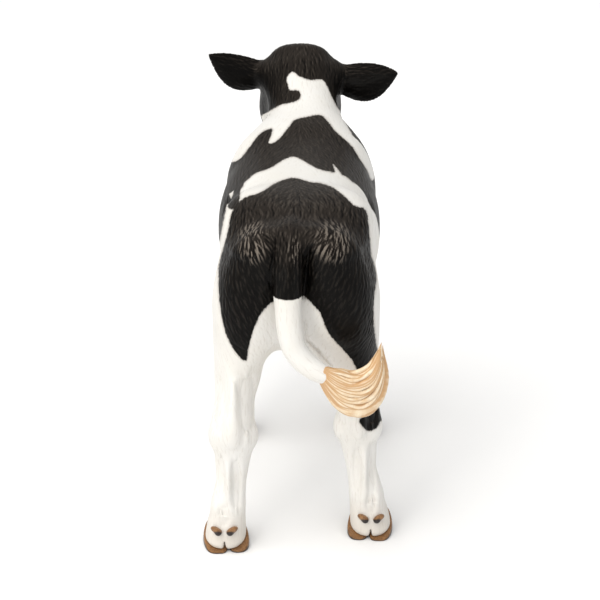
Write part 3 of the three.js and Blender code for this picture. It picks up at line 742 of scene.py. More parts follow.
def lie_of_hair(p, n):
    """The way that the hair lies at points p with normals n."""
    side, ahead, up = p.T
    k = np.tanh(side / 12)
    on_top = ramp(n[:, 2], 0.25, 0.85)
    way = mixed((0, -0.55, -1), directions(0.35 * k, -1, 0), on_top)
    rear = ramp(-n[:, 1], 0.1, 0.6) * ramp(up, 380, 460) * ramp(260 - ahead, 0, 120)
    way = mixed(way, directions(-0.42 * k, 0, -1), rear)
    way = mixed(way, (0, -0.1, -1), ramp(440 - up, 0, 60))  # down the legs
    high = ramp(ahead, 700, 780) * ramp(up, 640, 700)
    way = mixed(way, directions(0.2 * k, -0.8, -0.75), high)
    along, _, _ = tilted(POLL, HEAD_TILT)(p)
    on_face = ramp(along, 40, 90) * ramp(ahead, 800, 860)
    way = mixed(way, directions(0.25 * k, *rotated(HEAD_TILT)), on_face)
    for root, tip, to_side, _ in EARS.values():
        ear_way, _, _ = ear_axes(root, tip, to_side)
        way = mixed(way, ear_way, ramp(to_side * side, 96, 124) * ramp(ahead, 770, 800))
    away, at, _, _ = tail_tube(p.astype(np.float32), where=True)
    step = np.gradient(tail_line[:, :3], axis=0)
    tail_way = step[np.clip(at.astype(int), 0, len(step) - 1)]
    return mixed(way, tail_way / np.linalg.norm(tail_way, axis=1)[:, None], ramp(12 - away, 0, 10))


def thinned(p, spacing, random):
    """The indices of about one point in each cell of a grid."""
    order = random.permutation(len(p))
    cells = np.floor(p[order] / spacing).astype(np.int64)
    keys = (cells[:, 0] * 4096 + cells[:, 1]) * 4096 + cells[:, 2]
    _, first = np.unique(keys, return_index=True)
    return order[first]


def close_pairs(points, seeds, reach):
    """Every pair of a point and a seed in the same or a touching cell of a grid."""
    floor = np.minimum(points.min(0), seeds.min(0)) - 2 * reach
    cells = np.floor((points - floor) / reach).astype(np.int64)
    homes = np.floor((seeds - floor) / reach).astype(np.int64)
    wide = max(cells.max(), homes.max()) + 3
    keys = (homes[:, 0] * wide + homes[:, 1]) * wide + homes[:, 2]
    order = np.argsort(keys)
    keys = keys[order]
    for step in np.ndindex(3, 3, 3):
        near = cells + np.array(step) - 1
        wanted = (near[:, 0] * wide + near[:, 1]) * wide + near[:, 2]
        start = np.searchsorted(keys, wanted, "left")
        count = np.searchsorted(keys, wanted, "right") - start
        first = np.repeat(np.arange(len(points)), count)
        within = np.arange(len(first)) - np.repeat(np.cumsum(count) - count, count)
        yield first, order[start[first] + within]


# Of the strokes: their spacing, length, width and seed.
HAIR_STROKES, BRUSH_STROKES = (7.5, 30, 6.4, SEED), (6.2, 36, 4.2, SEED + 1)
STROKE_DEPTH = 0.42
STROKE_REACH = 2.4  # how far to each side a stroke is felt, in half widths
STROKE_THROUGH = 9  # and how far through the skin, so that the two sides of an ear have their own


def strokes(p, n, spacing, length, width, seed):
    """The relief of tool strokes along the hair: 0 on average, about -1 in a groove, and about 1
    on the ridges beside it."""
    random = np.random.default_rng(seed)
    at = thinned(p, spacing, random)
    centre, normal = p[at], n[at]
    way = lie_of_hair(centre, normal)
    way -= (way * normal).sum(1)[:, None] * normal
    way /= np.maximum(np.linalg.norm(way, axis=1), 1e-6)[:, None]
    across = np.cross(normal, way)
    turn = random.normal(0, 0.16, len(at))[:, None]
    way, across = way * np.cos(turn) + across * np.sin(turn), across * np.cos(turn) - way * np.sin(turn)
    half = length * random.uniform(0.6, 1.25, len(at)) / 2
    thin = width * random.uniform(0.75, 1.3, len(at)) / 2
    deep = random.uniform(0.5, 1.0, len(at))
    bend = random.normal(0, 0.006, len(at))
    relief = np.zeros(len(p))
    p, centre, normal, way, across = (v.astype(np.float32) for v in (p, centre, normal, way, across))
    for point, stroke in close_pairs(p, centre, length * 0.7):
        d = p[point] - centre[stroke]
        b = np.einsum("ij,ij->i", d, across[stroke])
        close = np.abs(b) < STROKE_REACH * thin[stroke]
        point, stroke, d, b = point[close], stroke[close], d[close], b[close]
        a = np.einsum("ij,ij->i", d, way[stroke])
        through = np.abs(np.einsum("ij,ij->i", d, normal[stroke]))
        close = (np.abs(a) < half[stroke]) & (through < STROKE_THROUGH)
        point, stroke, a = point[close], stroke[close], a[close]
        b = b[close] + bend[stroke] * a * a
        q = (b / thin[stroke]) ** 2
        fade = (1 - (a / half[stroke]) ** 2) ** 1.5
        value = -deep[stroke] * (1 - 1.1 * q) * np.exp(-q) * fade
        relief += np.bincount(point, weights=value, minlength=len(p))
    return np.clip((relief - relief.mean()) / relief.std(), -2.2, 2.2)


# Where a painted highlight of beige streaks lies on the black, in place of the sheen on the buttocks and
# tail, as seen from behind: a middle and radii.
HIGHLIGHT_ROUNDS = ((95, 116), (30, 44)), ((-66, 116), (38, 42)), ((12, 100), (12, 28))


def hair_depth(p):
    """How deep the strokes are: bold on the rump and back, faint on the face and shins."""
    _, ahead, up = p.T
    deep = 0.5 + 0.4 * ramp(up, 430, 560) * ramp(300 - ahead, 0, 200)
    deep *= 0.15 + 0.85 * ramp(up, 330, 520)
    along, _, _ = tilted(POLL, HEAD_TILT)(p)
    on_face = ramp(along, 60, 140) * ramp(ahead, 820, 880)
    deep *= 1 - 0.6 * on_face
    deep *= 1 - 0.75 * ramp(along, 270, 300) * (ahead > 900)
    return deep * ramp(up, 8, 40)


# ---- markings
EDGE = 30.0  # distances to an outline are kept up to this
TAIL_BLACK = 632  # the height down to which the tail is black


def rounded(points, steps=6):
    """A closed smooth curve through points."""
    points = np.array(points, float)
    before, after, later = (np.roll(points, k, axis=0) for k in (1, -1, -2))
    t = np.linspace(0, 1, steps, endpoint=False)[None, :, None]
    a, b, c, d = (q[:, None, :] for q in (before, points, after, later))
    curve = 2 * b + (c - a) * t + (2 * a - 5 * b + 4 * c - d) * t**2 + (3 * b - a - 3 * c + d) * t**3
    return curve.reshape(-1, 2) / 2


class Patch:
    """A painted patch: the distance inside its outline, in millimetres, from a table of it."""

    PITCH = 2.0

    def __init__(self, *points):
        curve = rounded(points)
        self.low = curve.min(0) - EDGE
        shape = np.ceil((curve.max(0) + EDGE - self.low) / self.PITCH).astype(int) + 1
        at = lattice(*shape) * self.PITCH + self.low
        away = np.full(len(at), EDGE)
        inside = np.zeros(len(at), bool)
        for a, b in zip(curve, np.roll(curve, -1, axis=0)):
            d = b - a
            t = np.clip(((at - a) @ d) / max(d @ d, 1e-9), 0, 1)
            away = np.minimum(away, np.linalg.norm(at - a - t[:, None] * d, axis=1))
            crosses = (a[1] > at[:, 1]) != (b[1] > at[:, 1])
            if d[1]:
                inside ^= crosses & (at[:, 0] < a[0] + (at[:, 1] - a[1]) / d[1] * d[0])
        self.table = np.where(inside, away, -away).reshape(shape)

    def __call__(self, u, v):
        shape = self.table.shape
        x = np.clip((u - self.low[0]) / self.PITCH, 0, shape[0] - 1.001)
        y = np.clip((v - self.low[1]) / self.PITCH, 0, shape[1] - 1.001)
        i, j = x.astype(int), y.astype(int)
        f, g = x - i, y - j
        t = self.table
        low = t[i, j] * (1 - g) + t[i, j + 1] * g
        return low * (1 - f) + (t[i + 1, j] * (1 - g) + t[i + 1, j + 1] * g) * f


# Seen from behind, on that plane.
HEAD_BLACK = Patch(
    (15, 456), (27, 444), (24, 430), (20, 420), (9, 420), (1, 417), (-1, 410), (1, 402), (9, 397),
    (25, 393), (39, 390), (57, 380), (75, 370), (88, 362), (112, 352), (160, 342), (300, 330),
    (300, 700), (-300, 700), (-300, 260), (-190, 240), (-160, 240), (-143, 248), (-136, 265),
    (-124, 282), (-119, 302), (-108, 325), (-90, 357), (-83, 374), (-73, 388), (-64, 406), (-57, 422),
    (-45, 440), (-21, 440), (-1, 446),
)
SADDLE = Patch(
    (11, 360), (-11, 366), (-41, 370), (-55, 358), (-63, 348), (-69, 340), (-77, 332), (-91, 320),
    (-105, 306), (-115, 290), (-125, 274), (-135, 258), (-143, 240), (-160, 226), (-150, 208),
    (-139, 209), (-133, 220), (-121, 228), (-105, 236), (-93, 246), (-84, 251), (-66, 272), (-70, 256),
    (-57, 257), (-37, 262), (-21, 270), (9, 286), (29, 282), (43, 274), (59, 264), (87, 254),
    (101, 244), (113, 232), (119, 220), (121, 200), (127, 184), (140, 182), (152, 196), (166, 215),
    (170, 250), (150, 272), (123, 280), (101, 306), (83, 330), (68, 340), (55, 342), (58, 328),
    (63, 314), (54, 314), (45, 320), (37, 328), (21, 348),
)
RUMP = Patch(
    (9, 244), (-21, 236), (-41, 234), (-59, 228), (-71, 222), (-91, 206), (-105, 192), (-117, 186),
    (-127, 184), (-135, 172), (-137, 156), (-141, 110), (-143, 88), (-149, 70), (-153, 44), (-149, 10),
    (-147, -20), (-149, -60), (-153, -90), (-158, -112), (-147, -138), (-122, -150), (-109, -130),
    (-101, -116), (-81, -94), (-63, -74), (-51, -54), (-41, -28), (-25, -8), (-7, 8), (-2, 1), (26, 2),
    (32, 4), (55, -4), (69, -16), (83, -36), (93, -60), (99, -80), (103, -96), (105, -114), (110, -122),
    (125, -110), (141, -84), (153, -52), (161, -4), (163, 30), (163, 60), (161, 76), (157, 92),
    (151, 112), (145, 136), (141, 156), (137, 174), (125, 192), (115, 202), (103, 208), (87, 212),
    (71, 220), (49, 234), (27, 242),
)
LEFT_EDGE = Patch(
    (124, 186), (121, 202), (119, 220), (112, 234), (124, 262), (150, 272), (176, 262), (200, 240),
    (200, 130), (180, 92), (166, 92), (161, 116), (158, 132), (150, 172), (145, 192), (136, 184),
)
FLECK = Patch((138, 229), (133, 217), (138, 203), (142, 216))
KNEE_SPOT = Patch(
    (-119, -240), (-136, -226), (-160, -216), (-170, -232), (-160, -244), (-153, -256), (-137, -262),
    (-125, -254),
)
# Seen from the side: ahead and up.
LEFT_RIBS = Patch(
    (440, 584), (426, 640), (408, 694), (376, 720), (345, 745), (318, 765), (250, 769), (190, 774),
    (160, 786), (200, 805), (350, 815), (480, 815), (570, 812), (594, 797), (560, 777), (536, 752),
    (556, 735), (590, 740), (622, 755), (650, 772), (676, 784), (694, 720), (708, 650), (700, 585),
    (660, 520), (598, 474), (530, 468), (476, 512),
)
RIGHT_RIBS = Patch(
    (440, 576), (404, 626), (374, 680), (354, 730), (346, 772), (352, 815), (480, 815), (560, 812),
    (580, 792), (560, 777), (544, 762), (520, 748), (496, 733), (484, 722), (500, 722), (520, 732),
    (545, 750), (580, 766), (616, 785), (692, 803), (740, 816), (800, 840), (836, 800), (828, 700),
    (800, 610), (744, 560), (690, 500), (610, 452), (530, 458), (478, 508),
)
NECK_EDGE = (715, 797), (0.826, 0.562)  # on the left: a place on it, and its way ahead and up
BLAZE = Patch(
    (-14, 60), (10, 66), (26, 92), (30, 130), (24, 180), (30, 230), (44, 262), (58, 300), (50, 345),
    (0, 352), (-50, 345), (-58, 300), (-44, 262), (-28, 230), (-22, 180), (-24, 130), (-22, 90),
)


def black_paint(p, n):
    """How far each point is inside the black, in millimetres, and below 0 in the white."""
    side, ahead, up = p.T
    out = np.abs(side)
    s, r = from_behind(p)
    forward, _, _ = view_axes()
    seen = -(n @ forward)

    rump_end = np.maximum(300 - 1.4 * np.maximum(out - 60, 0), 195)
    back = np.maximum(np.where(ahead > 60, SADDLE(s, r), -EDGE), np.minimum(RUMP(s, r), rump_end - ahead))
    back = np.minimum(back, -FLECK(s, r))
    back = np.maximum(back, np.where(ahead > 620, HEAD_BLACK(s, r), -EDGE))

    (edge_ahead, edge_up), (way_ahead, way_up) = NECK_EDGE
    neck_side = (ahead - edge_ahead) * way_ahead + (up - edge_up) * way_up
    left = np.maximum(LEFT_RIBS(ahead, up), np.clip(neck_side, -EDGE, EDGE))
    right = np.maximum(RIGHT_RIBS(ahead, up), np.clip(neck_side - 40, -EDGE, EDGE))
    leftward = ramp(side, -20, 20)
    flank = left * leftward + right * (1 - leftward)
    waist = ramp(out, 100, 115) * ramp(ahead, 205, 225) * ramp(500 - ahead, 0, 40) * ramp(756 - up, 0, 20)
    shoulder = ramp(ahead, 300, 340) * ramp(640 + 60 * ramp(ahead, 480, 540) - up, 0, 40)
    on_back = ramp(seen, 0.02, 0.16) * (1 - np.maximum(waist, shoulder))
    trunk = back * on_back + flank * (1 - on_back)
    strip = np.minimum(LEFT_EDGE(s, r), np.minimum(ahead - 110, up - 590))
    trunk = np.where(side > 90, np.maximum(trunk, np.minimum(strip, -FLECK(s, r))), trunk)

    hidden = (up < 560) & ((out < 70) | (ahead > 300)) & (seen > 0) & (ahead > 60)
    trunk = np.where(hidden, np.minimum(trunk, flank), trunk)
    spot = np.where(ahead < 110, KNEE_SPOT(s, r), -EDGE)
    on_hind_leg = (up < np.where(side < 0, 400, 440)) & (ahead < 330)
    trunk = np.where(on_hind_leg, np.where(side < -60, spot, -EDGE), trunk)
    on_tail = (tail_tube(p.astype(np.float32)) < 6) & (up < 740)
    trunk = np.where(on_tail, 1.4 * (up - TAIL_BLACK), trunk)

    along, across, _ = tilted(POLL, HEAD_TILT)(p)
    return np.where((along > 20) & (ahead > 860), np.clip(-BLAZE(across, along), -EDGE, EDGE), trunk)


# ---- materials
class Shader:
    """A Principled material and the nodes that feed it. An input is a number or a socket."""

    def __init__(self, name, **plain):
        self.material = bpy.data.materials.new(name)
        self.material.use_nodes = True
        self.tree = self.material.node_tree
        self.surface = self.tree.nodes["Principled BSDF"]
        for key, value in plain.items():
            self.surface.inputs[key.replace("_", " ")].default_value = value

    def node(self, kind, *inputs, out=0, named=None, **settings):
        node = self.tree.nodes.new(kind)
        for key, value in settings.items():
            setattr(node, key, value)
        for key, value in [*enumerate(inputs), *(named or {}).items()]:
            if isinstance(value, bpy.types.NodeSocket):
                self.tree.links.new(value, node.inputs[key])
            elif value is not None:
                node.inputs[key].default_value = value
        return node.outputs[out]

    def plus(self, a, b):
        return self.node("ShaderNodeMath", a, b, operation="ADD")

    def times(self, a, b):
        return self.node("ShaderNodeMath", a, b, operation="MULTIPLY")

    def scaled(self, x, by, plus=0.0):
        return self.node("ShaderNodeMath", x, by, plus, operation="MULTIPLY_ADD")

    def value(self, name):
        return self.node("ShaderNodeAttribute", attribute_name=name, out="Fac")

    def facing_up(self):
        """How far the surface faces up."""
        facing = self.node("ShaderNodeNewGeometry", out="Normal")
        return self.node("ShaderNodeSeparateXYZ", facing, out="Z")

    def place(self, stretch=(1, 1, 1)):
        where = self.node("ShaderNodeTexCoord", out="Object")
        return self.node("ShaderNodeMapping", where, named={"Scale": stretch})

    def noise(self, scale, detail=3.0, rough=0.55, stretch=(1, 1, 1), where=None):
        where = where or self.place(stretch)
        spread = {"Vector": where, "Scale": scale, "Detail": detail, "Roughness": rough}
        return self.node("ShaderNodeTexNoise", named=spread)

    def between(self, x, low, high):
        """From 0 at `low` to 1 at `high`, smoothly."""
        return self.node("ShaderNodeMapRange", x, low, high, 0.0, 1.0, interpolation_type="SMOOTHSTEP")

    def mix(self, factor, a, b):
        """Two colours mixed."""
        sockets = {0: factor}
        for index, colour in ((6, a), (7, b)):  # the node's inputs for colours
            sockets[index] = (*colour, 1) if isinstance(colour, tuple) else colour
        return self.node("ShaderNodeMix", named=sockets, out=2, data_type="RGBA")

    def bump(self, height, strength, depth, under=None):
        """`depth` is in metres."""
        inputs = {"Strength": strength, "Distance": depth, "Height": height, "Normal": under}
        return self.node("ShaderNodeBump", named=inputs)

    def finish(self, colour, roughness, normal):
        for key, value in (("Base Color", colour), ("Roughness", roughness), ("Normal", normal)):
            self.tree.links.new(value, self.surface.inputs[key])
        return self.material


def coat_material():
    s = Shader("painted_coat", Specular_IOR_Level=0.09)
    relief, black, bare = s.value("relief"), s.value("black"), s.value("bare")
    brushwork = s.value("brushwork")
    coarse = s.noise(9, 4)
    fine = s.noise(260, 4, 0.6)
    hairs = s.noise(330, 3, 0.6, stretch=(1, 0.45, 0.16))
    ragged = s.plus(black, s.scaled(s.noise(260, 4, 0.65, stretch=(1, 0.7, 0.35)), 6.0, -3.0))
    painted = s.between(ragged, -1.4, 1.4)
    halo = s.between(ragged, -5.0, 0.0)

    strokes_up = s.scaled(s.plus(relief, brushwork), 0.6)
    ridge = s.between(strokes_up, 0.1, 1.3)
    groove = s.between(strokes_up, -0.2, -1.2)
    lit_from_above = s.between(s.facing_up(), 0.1, 0.9)
    ridge_highlight = s.times(ridge, s.scaled(s.between(coarse, 0.35, 0.7), 0.5, 0.5))
    # painted light: the black is painted lighter where it faces up, as if lit from above
    dark = s.mix(lit_from_above, (0.0022, 0.0018, 0.0015), (0.020, 0.0162, 0.0132))
    # painted shade: the black is darker still in the grooves of the strokes
    dark = s.mix(s.scaled(groove, 0.8), dark, (0.0015, 0.0012, 0.001))
    # painted highlight: the ridges of the strokes are lighter on the black, most where they face up
    dark = s.mix(s.times(ridge_highlight, s.scaled(lit_from_above, 0.6, 0.25)), dark, (0.060, 0.050, 0.041))
    streaks = s.between(s.plus(strokes_up, hairs), 0.3, 1.6)
    # painted highlight: beige streaks on the black within the highlight rounds, in place of the sheen
    # there
    dark = s.mix(s.times(s.value("brush"), streaks), dark, (0.17, 0.145, 0.12))
    white = s.mix(s.between(coarse, 0.3, 0.75), (0.755, 0.735, 0.69), (0.78, 0.77, 0.745))
    # painted shade: the white is darker in the grooves of the strokes
    white = s.mix(s.scaled(groove, 0.35), white, (0.58, 0.54, 0.49))
    # the white turns browner towards the floor
    white = s.mix(s.scaled(s.value("dust"), 0.6), white, (0.52, 0.42, 0.31))
    white = s.mix(s.scaled(halo, 0.35), white, (0.35, 0.30, 0.26))
    colour = s.mix(painted, white, dark)
    pink = s.mix(s.between(fine, 0.35, 0.7), (0.36, 0.20, 0.165), (0.20, 0.115, 0.10))
    colour = s.mix(bare, colour, pink)
    colour = s.mix(s.value("rim"), colour, (0.012, 0.009, 0.008))

    rough = s.plus(s.scaled(painted, -0.10, 0.50), s.scaled(fine, 0.22, -0.11))
    rough = s.plus(rough, s.scaled(bare, -0.12))
    normal = s.bump(hairs, 0.55, 0.0006)
    normal = s.bump(fine, 0.25, 0.0004, normal)
    return s.finish(colour, rough, normal)


def hoof_material():
    s = Shader("painted_hoof", Coat_Weight=0.1, Coat_Roughness=0.2)
    low, blotch = s.value("low"), s.noise(60, 4)
    streak = s.noise(240, 3, 0.6, stretch=(1, 1, 0.12))
    tan = s.mix(s.between(streak, 0.35, 0.7), (0.28, 0.14, 0.052), (0.16, 0.075, 0.03))
    dark = s.plus(low, s.scaled(blotch, 0.5, -0.25))
    colour = s.mix(s.between(dark, 0.1, 0.55), tan, (0.016, 0.010, 0.008))
    rough = s.scaled(streak, 0.25, 0.28)
    normal = s.bump(streak, 0.35, 0.0005)
    normal = s.bump(s.noise(500, 3), 0.2, 0.0003, normal)
    return s.finish(colour, rough, normal)


def switch_material():
    s = Shader("painted_switch")
    crease, strand = s.value("crease"), s.value("strand")
    along = s.value("along")
    shade = s.noise(1.0, 2, where=s.node("ShaderNodeCombineXYZ", s.scaled(strand, 3.7), along, 0.0))
    lines = s.noise(1.0, 3, 0.6, where=s.node("ShaderNodeCombineXYZ", s.value("streak"), along, 0.0))
    colour = s.mix(s.between(shade, 0.35, 0.65), (0.80, 0.62, 0.41), (0.86, 0.74, 0.56))
    colour = s.mix(s.scaled(s.between(lines, 0.45, 0.68), 0.6), colour, (0.62, 0.38, 0.18))
    # painted shade: darker ochre in the creases between the strands
    colour = s.mix(s.scaled(s.between(crease, 0.3, 1.0), 0.85), colour, (0.56, 0.31, 0.13))
    return s.finish(colour, s.scaled(lines, 0.2, 0.55), s.bump(lines, 0.8, 0.0012))


def eye_material():
    s = Shader("painted_eye", Coat_Weight=1.0, Coat_Roughness=0.03)
    iris, slot = s.value("iris"), s.value("pupil")
    fibres = s.noise(700, 3)
    brown = s.mix(fibres, (0.045, 0.018, 0.008), (0.018, 0.008, 0.004))
    colour = s.mix(s.between(iris, 0.86, 1.0), brown, (0.010, 0.007, 0.006))
    colour = s.mix(s.between(iris, 1.08, 1.25), colour, (0.16, 0.12, 0.11))
    colour = s.mix(s.between(slot, 1.06, 0.94), colour, (0.002, 0.002, 0.003))
    return s.finish(colour, s.scaled(fibres, 0.06, 0.08), s.bump(fibres, 0.08, 0.0002))


def floor_material():
    s = Shader("pale_floor")
    cloud = s.noise(1.5, 3)
    colour = s.mix(s.between(cloud, 0.3, 0.7), (0.92, 0.92, 0.92), (0.93, 0.93, 0.93))
    return s.finish(colour, s.scaled(s.noise(40, 3), 0.1, 0.8), s.bump(s.noise(200, 2), 0.05, 0.0002))


# ---- the skin
SKIN_BOX = (-262, -110, -20), (262, 1165, 985)
LEG_PARTS = {
    "hind": ("thigh", "hock", "cannon", "pastern"),
    "fore": ("forearm", "knee", "cannon", "pastern"),
}


def make_skin():
    points, quads = surface(body, *SKIN_BOX, PITCH)
    points, normals = settled(body, points, PITCH / 2)
    relief = strokes(points, normals, *HAIR_STROKES)
    brushwork = strokes(points, normals, *BRUSH_STROKES)
    black = black_paint(points, normals)
    deep = hair_depth(points) * (0.35 + 0.65 * ramp(black, -6, 6))
    points = points + normals * (relief * deep * STROKE_DEPTH)[:, None]

    along, across, out = tilted(POLL, HEAD_TILT)(points)
    on_head = points[:, 1] > 900
    bare = ramp(along, 284, 300) * on_head * ramp(out, -104, -92)
    bare = np.maximum(bare, 0.7 * ramp(along, 292, 302) * on_head)
    off_eye = ((np.abs(across) - EYE_OUT - 17) / 15) ** 2 + ((along - EYE_ALONG) / 18) ** 2
    off_eye += ((out + EYE_BELOW) / 12) ** 2
    rim = ramp(-off_eye, -1.5, -1.0) * on_head
    # browner towards the floor, over the lowest 120 mm
    dust = ramp(120 - points[:, 2], 0, 110) * 0.6
    s, r = from_behind(points)
    # the painted highlight: rounds on the plane seen from behind, on the rear end only
    rounds = [((s - at[0]) / radii[0]) ** 2 + ((r - at[1]) / radii[1]) ** 2 for at, radii in HIGHLIGHT_ROUNDS]
    brush = ramp(-np.minimum.reduce(rounds), -1.5, -0.2) * ramp(80 - points[:, 1], 0, 40)
    skin = mesh_object(
        "calf_skin", points, quads, coat_material(), black=black, relief=relief * deep,
        brushwork=brushwork, bare=bare * (1 - rim), rim=rim, dust=dust, brush=brush,
    )
    legs = [f"{end}_{side}_{part}" for end, parts in LEG_PARTS.items() for side in HIND for part in parts]
    trunk = ["trunk_rump", "trunk_barrel", "trunk_shoulders", "neck", "head", "muzzle"]
    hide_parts(*trunk, "ear_left", "ear_right", "tail_dock", "tail_end", *legs)
    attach(skin, "root")


# ---- claws, dewclaws and eyes
def halves():
    """Each half of each foot: its name, place, heel and turn, then which half, and its way out."""
    for foot in feet():
        for place, way in (("outer", np.sign(foot[1])), ("inner", -np.sign(foot[1]))):
            yield *foot, place, way


def claw(foot, heel, way, turn):
    c, s = np.cos(turn), np.sin(turn)

    def local(p):
        x, a = p[:, 0] - foot, p[:, 1] - heel - MID_FOOT
        return p[:, 2], x * c - a * s, a * c + x * s + MID_FOOT

    rows = [
        [-20, 23, 101, 38, -17, 27.5, 1.8, 2.4],
        [8, 23, 101, 38, -17, 28, 1.8, 2.4],
        [34, 22, 92, 37, -12, 26.5, 1.9, 2.4],
        [62, 21, 82, 36, -12, 25, 2, 2.4],
        [90, 20, 74, 34, -10, 22, 2, 2.4],
    ]
    shape = loft(local, [[up, way * middle, *rest] for up, middle, *rest in rows], 10)

    def field(p):
        up, across, _ = local(p)
        over = coronet(p, heel)
        growth = 0.35 * np.sin(over / 1.15) * ramp(-over, 3, 9) * ramp(up, 3, 8)
        d = least(shape(p) + growth, over + HORN_OVERLAP, 4)
        d = least(d, -up, 2.5)
        return least(d, CLEFT / 2 - way * across, 7)

    return field


def make_claws(material):
    for name, foot, heel, turn, place, way in halves():
        low, high = (foot - 62, heel - 28, -8), (foot + 62, heel + 112, 76)
        points, quads = surface(claw(foot, heel, way, turn), low, high, FINE)
        over = coronet(points, heel)
        depth = np.clip(-over / np.maximum(points[:, 2] - over, 1), 0, 1)
        item = mesh_object(f"{name}_claw_{place}_horn", points, quads, material, low=depth)
        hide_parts(f"{name}_claw_{place}")
        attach(item, "root")


def dewclaw(centre, way):
    """A short blunt horn: its outer end is high, and its tip hangs back and down."""
    roll, tip = np.radians(30) * way, np.array([-5.0 * way, -8.0, -3.5])
    c, s = np.cos(roll), np.sin(roll)
    base, end = lump((0, 0, 0), (13.5, 12, 7), -24), lump(tip, (6.5, 7, 5.5))

    def field(p):
        q = p - np.array(centre, np.float32)
        turned = np.column_stack([q[:, 0] * c + q[:, 2] * s, q[:, 1], q[:, 2] * c - q[:, 0] * s])
        return blend(base(turned), end(q), 7)

    return field


def make_dewclaws(material):
    for name, foot, heel, _, place, way in halves():
        back = heel + (-12 if name.startswith("hind") else -10)
        centre = np.array([foot + way * 18, back, 58.0])
        points, quads = surface(dewclaw(centre, way), centre - 26, centre + 26, FINE * 0.7)
        hang = (points - centre) @ np.array([0, -0.62, -0.78])
        item = mesh_object(f"{name}_dewclaw_{place}_horn", points, quads, material, low=ramp(hang, 1, 13))
        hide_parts(f"{name}_dewclaw_{place}")
        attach(item, "root")


def make_eyes():
    material = eye_material()
    for side, k in (("left", 1), ("right", -1)):
        centre = np.array(untilted(POLL, HEAD_TILT, k * EYE_OUT, EYE_ALONG, -EYE_BELOW))
        gaze = unit(np.array(untilted((0, 0, 0), HEAD_TILT, k * 0.93, 0.22, 0.2)))
        width = unit(np.array(untilted((0, 0, 0), HEAD_TILT + 20, 0, 1, 0)))
        width = unit(width - gaze * width.dot(gaze))
        height = np.cross(gaze, width)

        def ball(p):
            q = p - centre
            cornea = np.linalg.norm(q - gaze * CORNEA_AHEAD, axis=1) - CORNEA_RADIUS
            return blend(np.linalg.norm(q, axis=1) - EYE_RADIUS, cornea, 2)

        room = EYE_RADIUS + 5
        points, quads = surface(ball, centre - room, centre + room, FINE * 0.7)
        q = points - centre
        facing = q @ gaze
        across, up = np.abs(q @ width), np.abs(q @ height)
        iris = np.where(facing > 0, np.hypot(across, up) / IRIS_RADIUS, 2)
        slot = ((across / PUPIL_WIDE) ** 3 + (up / PUPIL_HIGH) ** 3) ** (1 / 3)
        pupil = np.where(facing > 0, slot, 3)
        item = mesh_object(f"eye_{side}_ball", points, quads, material, iris=iris, pupil=pupil)
        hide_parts(f"eye_{side}")
        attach(item, "root")


# ---- the switch of the tail
def on_view_line(spot, ahead):
    """The place, this far ahead, that shows at a spot of the plane the back is drawn on."""
    forward, left, over = view_axes()
    line = forward * VIEW_DISTANCE + left * spot[0] + over * spot[1]
    return VIEWER + line * (ahead - VIEWER[1]) / line[1]


# The tuft as it shows from behind, from the end of the tail to its tip. Rows: its upper edge and
# its lower edge on the plane, how far ahead it is, and half of how thick.
TUFT = [
    [-52, -132, -40, -166, -74, 19],
    [-64, -134, -55, -192, -72, 22],
    [-84, -136, -76, -220, -66, 26],
    [-104, -140, -100, -234, -60, 29],
    [-122, -136, -128, -236, -54, 30],
    [-140, -124, -154, -216, -47, 28],
    [-153, -104, -171, -160, -38, 22],
    [-163, -84, -165, -86, -28, 4],
]


def strand_lines():
    """The tuft's strands: they fan out from the end of the tail, and sweep up to its tip."""
    random = np.random.default_rng(SEED + 5)
    t = np.linspace(0, 1, 30)
    edges = profile([[i, *row] for i, row in enumerate(TUFT)])
    top_s, top_r, low_s, low_r, ahead, deep = np.array(edges(t * (len(TUFT) - 1)), float)
    wide = np.hypot(top_s - low_s, top_r - low_r)
    for layer, count in ((-1, 23), (1, 14), (0, 10)):
        for k in range(count):
            share = (k + 0.5 + random.uniform(-0.25, 0.25)) / count
            turn = np.pi * (1 - share) if layer else 0
            across = 0.5 - 0.5 * np.cos(turn) if layer else share
            wave = 0.034 * np.sin(random.uniform(6, 11) * t + random.uniform(0, 6))
            wave += random.normal(0, 0.03) * t
            across = across + wave * np.sin(np.pi * t)
            girth = 1.25 * (wide + 2 * deep) / count if layer else 2.2 * wide / count
            radius = girth * 0.5 * random.uniform(0.62, 1.45) if layer else np.minimum(girth, deep * 0.84)
            radius = np.clip(radius, 1.2, 12 if layer else 26)
            end = random.uniform(0.86, 1.0) if 0.1 < share < 0.9 else 1.0
            radius = radius * np.clip((end - t) / 0.2 + 0.15, 0.15, 1) ** 0.6
            bulge = np.sin(turn) * np.maximum(deep - radius * 0.9, 0) * layer if layer else 0 * t
            inset = np.clip(radius / np.maximum(wide, 1), 0, 0.5)
            across = inset + np.clip(across, 0, 1) * (1 - 2 * inset)
            s = top_s + (low_s - top_s) * across
            r = top_r + (low_r - top_r) * across
            place = np.array([on_view_line(spot, a) for spot, a in zip(zip(s, r), ahead + bulge)])
            yield np.column_stack([place, radius])[t <= end]


def make_switch():
    hair = tubes(list(strand_lines()))
    points, quads = surface(hair, (-212, -118, 330), (-30, -2, 540), FINE)
    best, along, strand, second = hair(points.astype(np.float32), where=True)
    # where two strands meet: the creases that get painted shade
    crease = 1 - ramp(second - best, 0, 3.0)
    streak = strand * 7.0 + (second - best) * 0.9
    item = mesh_object(
        "tail_switch_hair", points, quads, switch_material(),
        crease=crease, strand=strand, along=along * 0.25, streak=streak,
    )
    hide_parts("tail_switch")
    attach(item, "root")


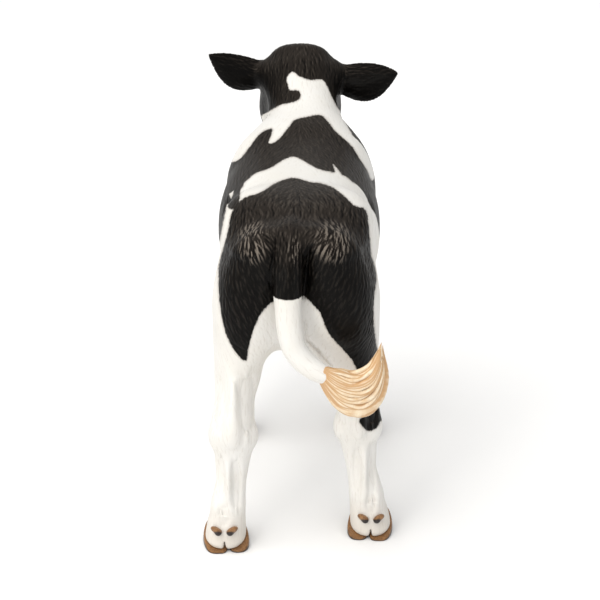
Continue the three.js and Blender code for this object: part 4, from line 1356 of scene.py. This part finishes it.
# ---- floor, light and camera
def make_stage():
    half = 40.0
    corners = [(-half, -half, 0), (half, -half, 0), (half, half, 0), (-half, half, 0)]
    mesh = bpy.data.meshes.new("floor")
    mesh.from_pydata(corners, [], [(0, 1, 2, 3)])
    mesh.materials.append(floor_material())
    floor = scene_object("floor", mesh)

    world = bpy.data.worlds.new("studio")
    world.use_nodes = True
    back = world.node_tree.nodes["Background"]
    back.inputs["Color"].default_value = (1, 1, 1, 1)
    back.inputs["Strength"].default_value = 0.5
    bpy.context.scene.world = world


def aim(item, way):
    item.rotation_euler = Vector(way).to_track_quat("-Z", "Y").to_euler()


def add_light(name, kind, power, colour, glossy):
    light = bpy.data.lights.new(name, kind)
    light.energy = power
    light.color = colour
    item = scene_object(name, light)
    item.visible_glossy = glossy
    return item


# Name, place, size, power, colour, and whether it shines on the coat. Only two do: the others
# would draw a bright line along the top of the rump.
LAMPS = [
    ("key", (1.9, 3.6, 1.5), 0.9, 24, (1.0, 0.95, 0.88), True),
    ("fill", (-3.0, 2.2, 1.6), 1.6, 6, (0.84, 0.90, 1.0), True),
    ("front", (0.8, -3.4, 2.0), 2.0, 22, (1.0, 0.98, 0.95), False),
]


def make_lights():
    sky = add_light("sky", "SUN", 2.4, (1.0, 0.985, 0.96), False)
    sky.data.angle = np.radians(70)
    aim(sky, (-0.35, -0.45, -1.0))
    middle = Vector((0, 0, 0.5))
    for name, place, size, power, colour, glossy in LAMPS:
        lamp = add_light(name, "AREA", power, colour, glossy)
        lamp.data.size = size
        lamp.location = place
        aim(lamp, middle - Vector(place))


def make_camera():
    camera = bpy.data.cameras.new("camera")
    camera.sensor_width = 36.0
    camera.lens = LENS
    item = scene_object("camera", camera)
    forward, _, _ = view_axes()
    item.location = placed(VIEWER[None, :])[0]
    aim(item, (forward[0], -forward[1], forward[2]))
    bpy.context.scene.camera = item


make_skin()
horn = hoof_material()
make_claws(horn)
make_dewclaws(horn)
make_eyes()
make_switch()
make_stage()
make_lights()
make_camera()
bpy.context.scene.view_settings.view_transform = "Standard"
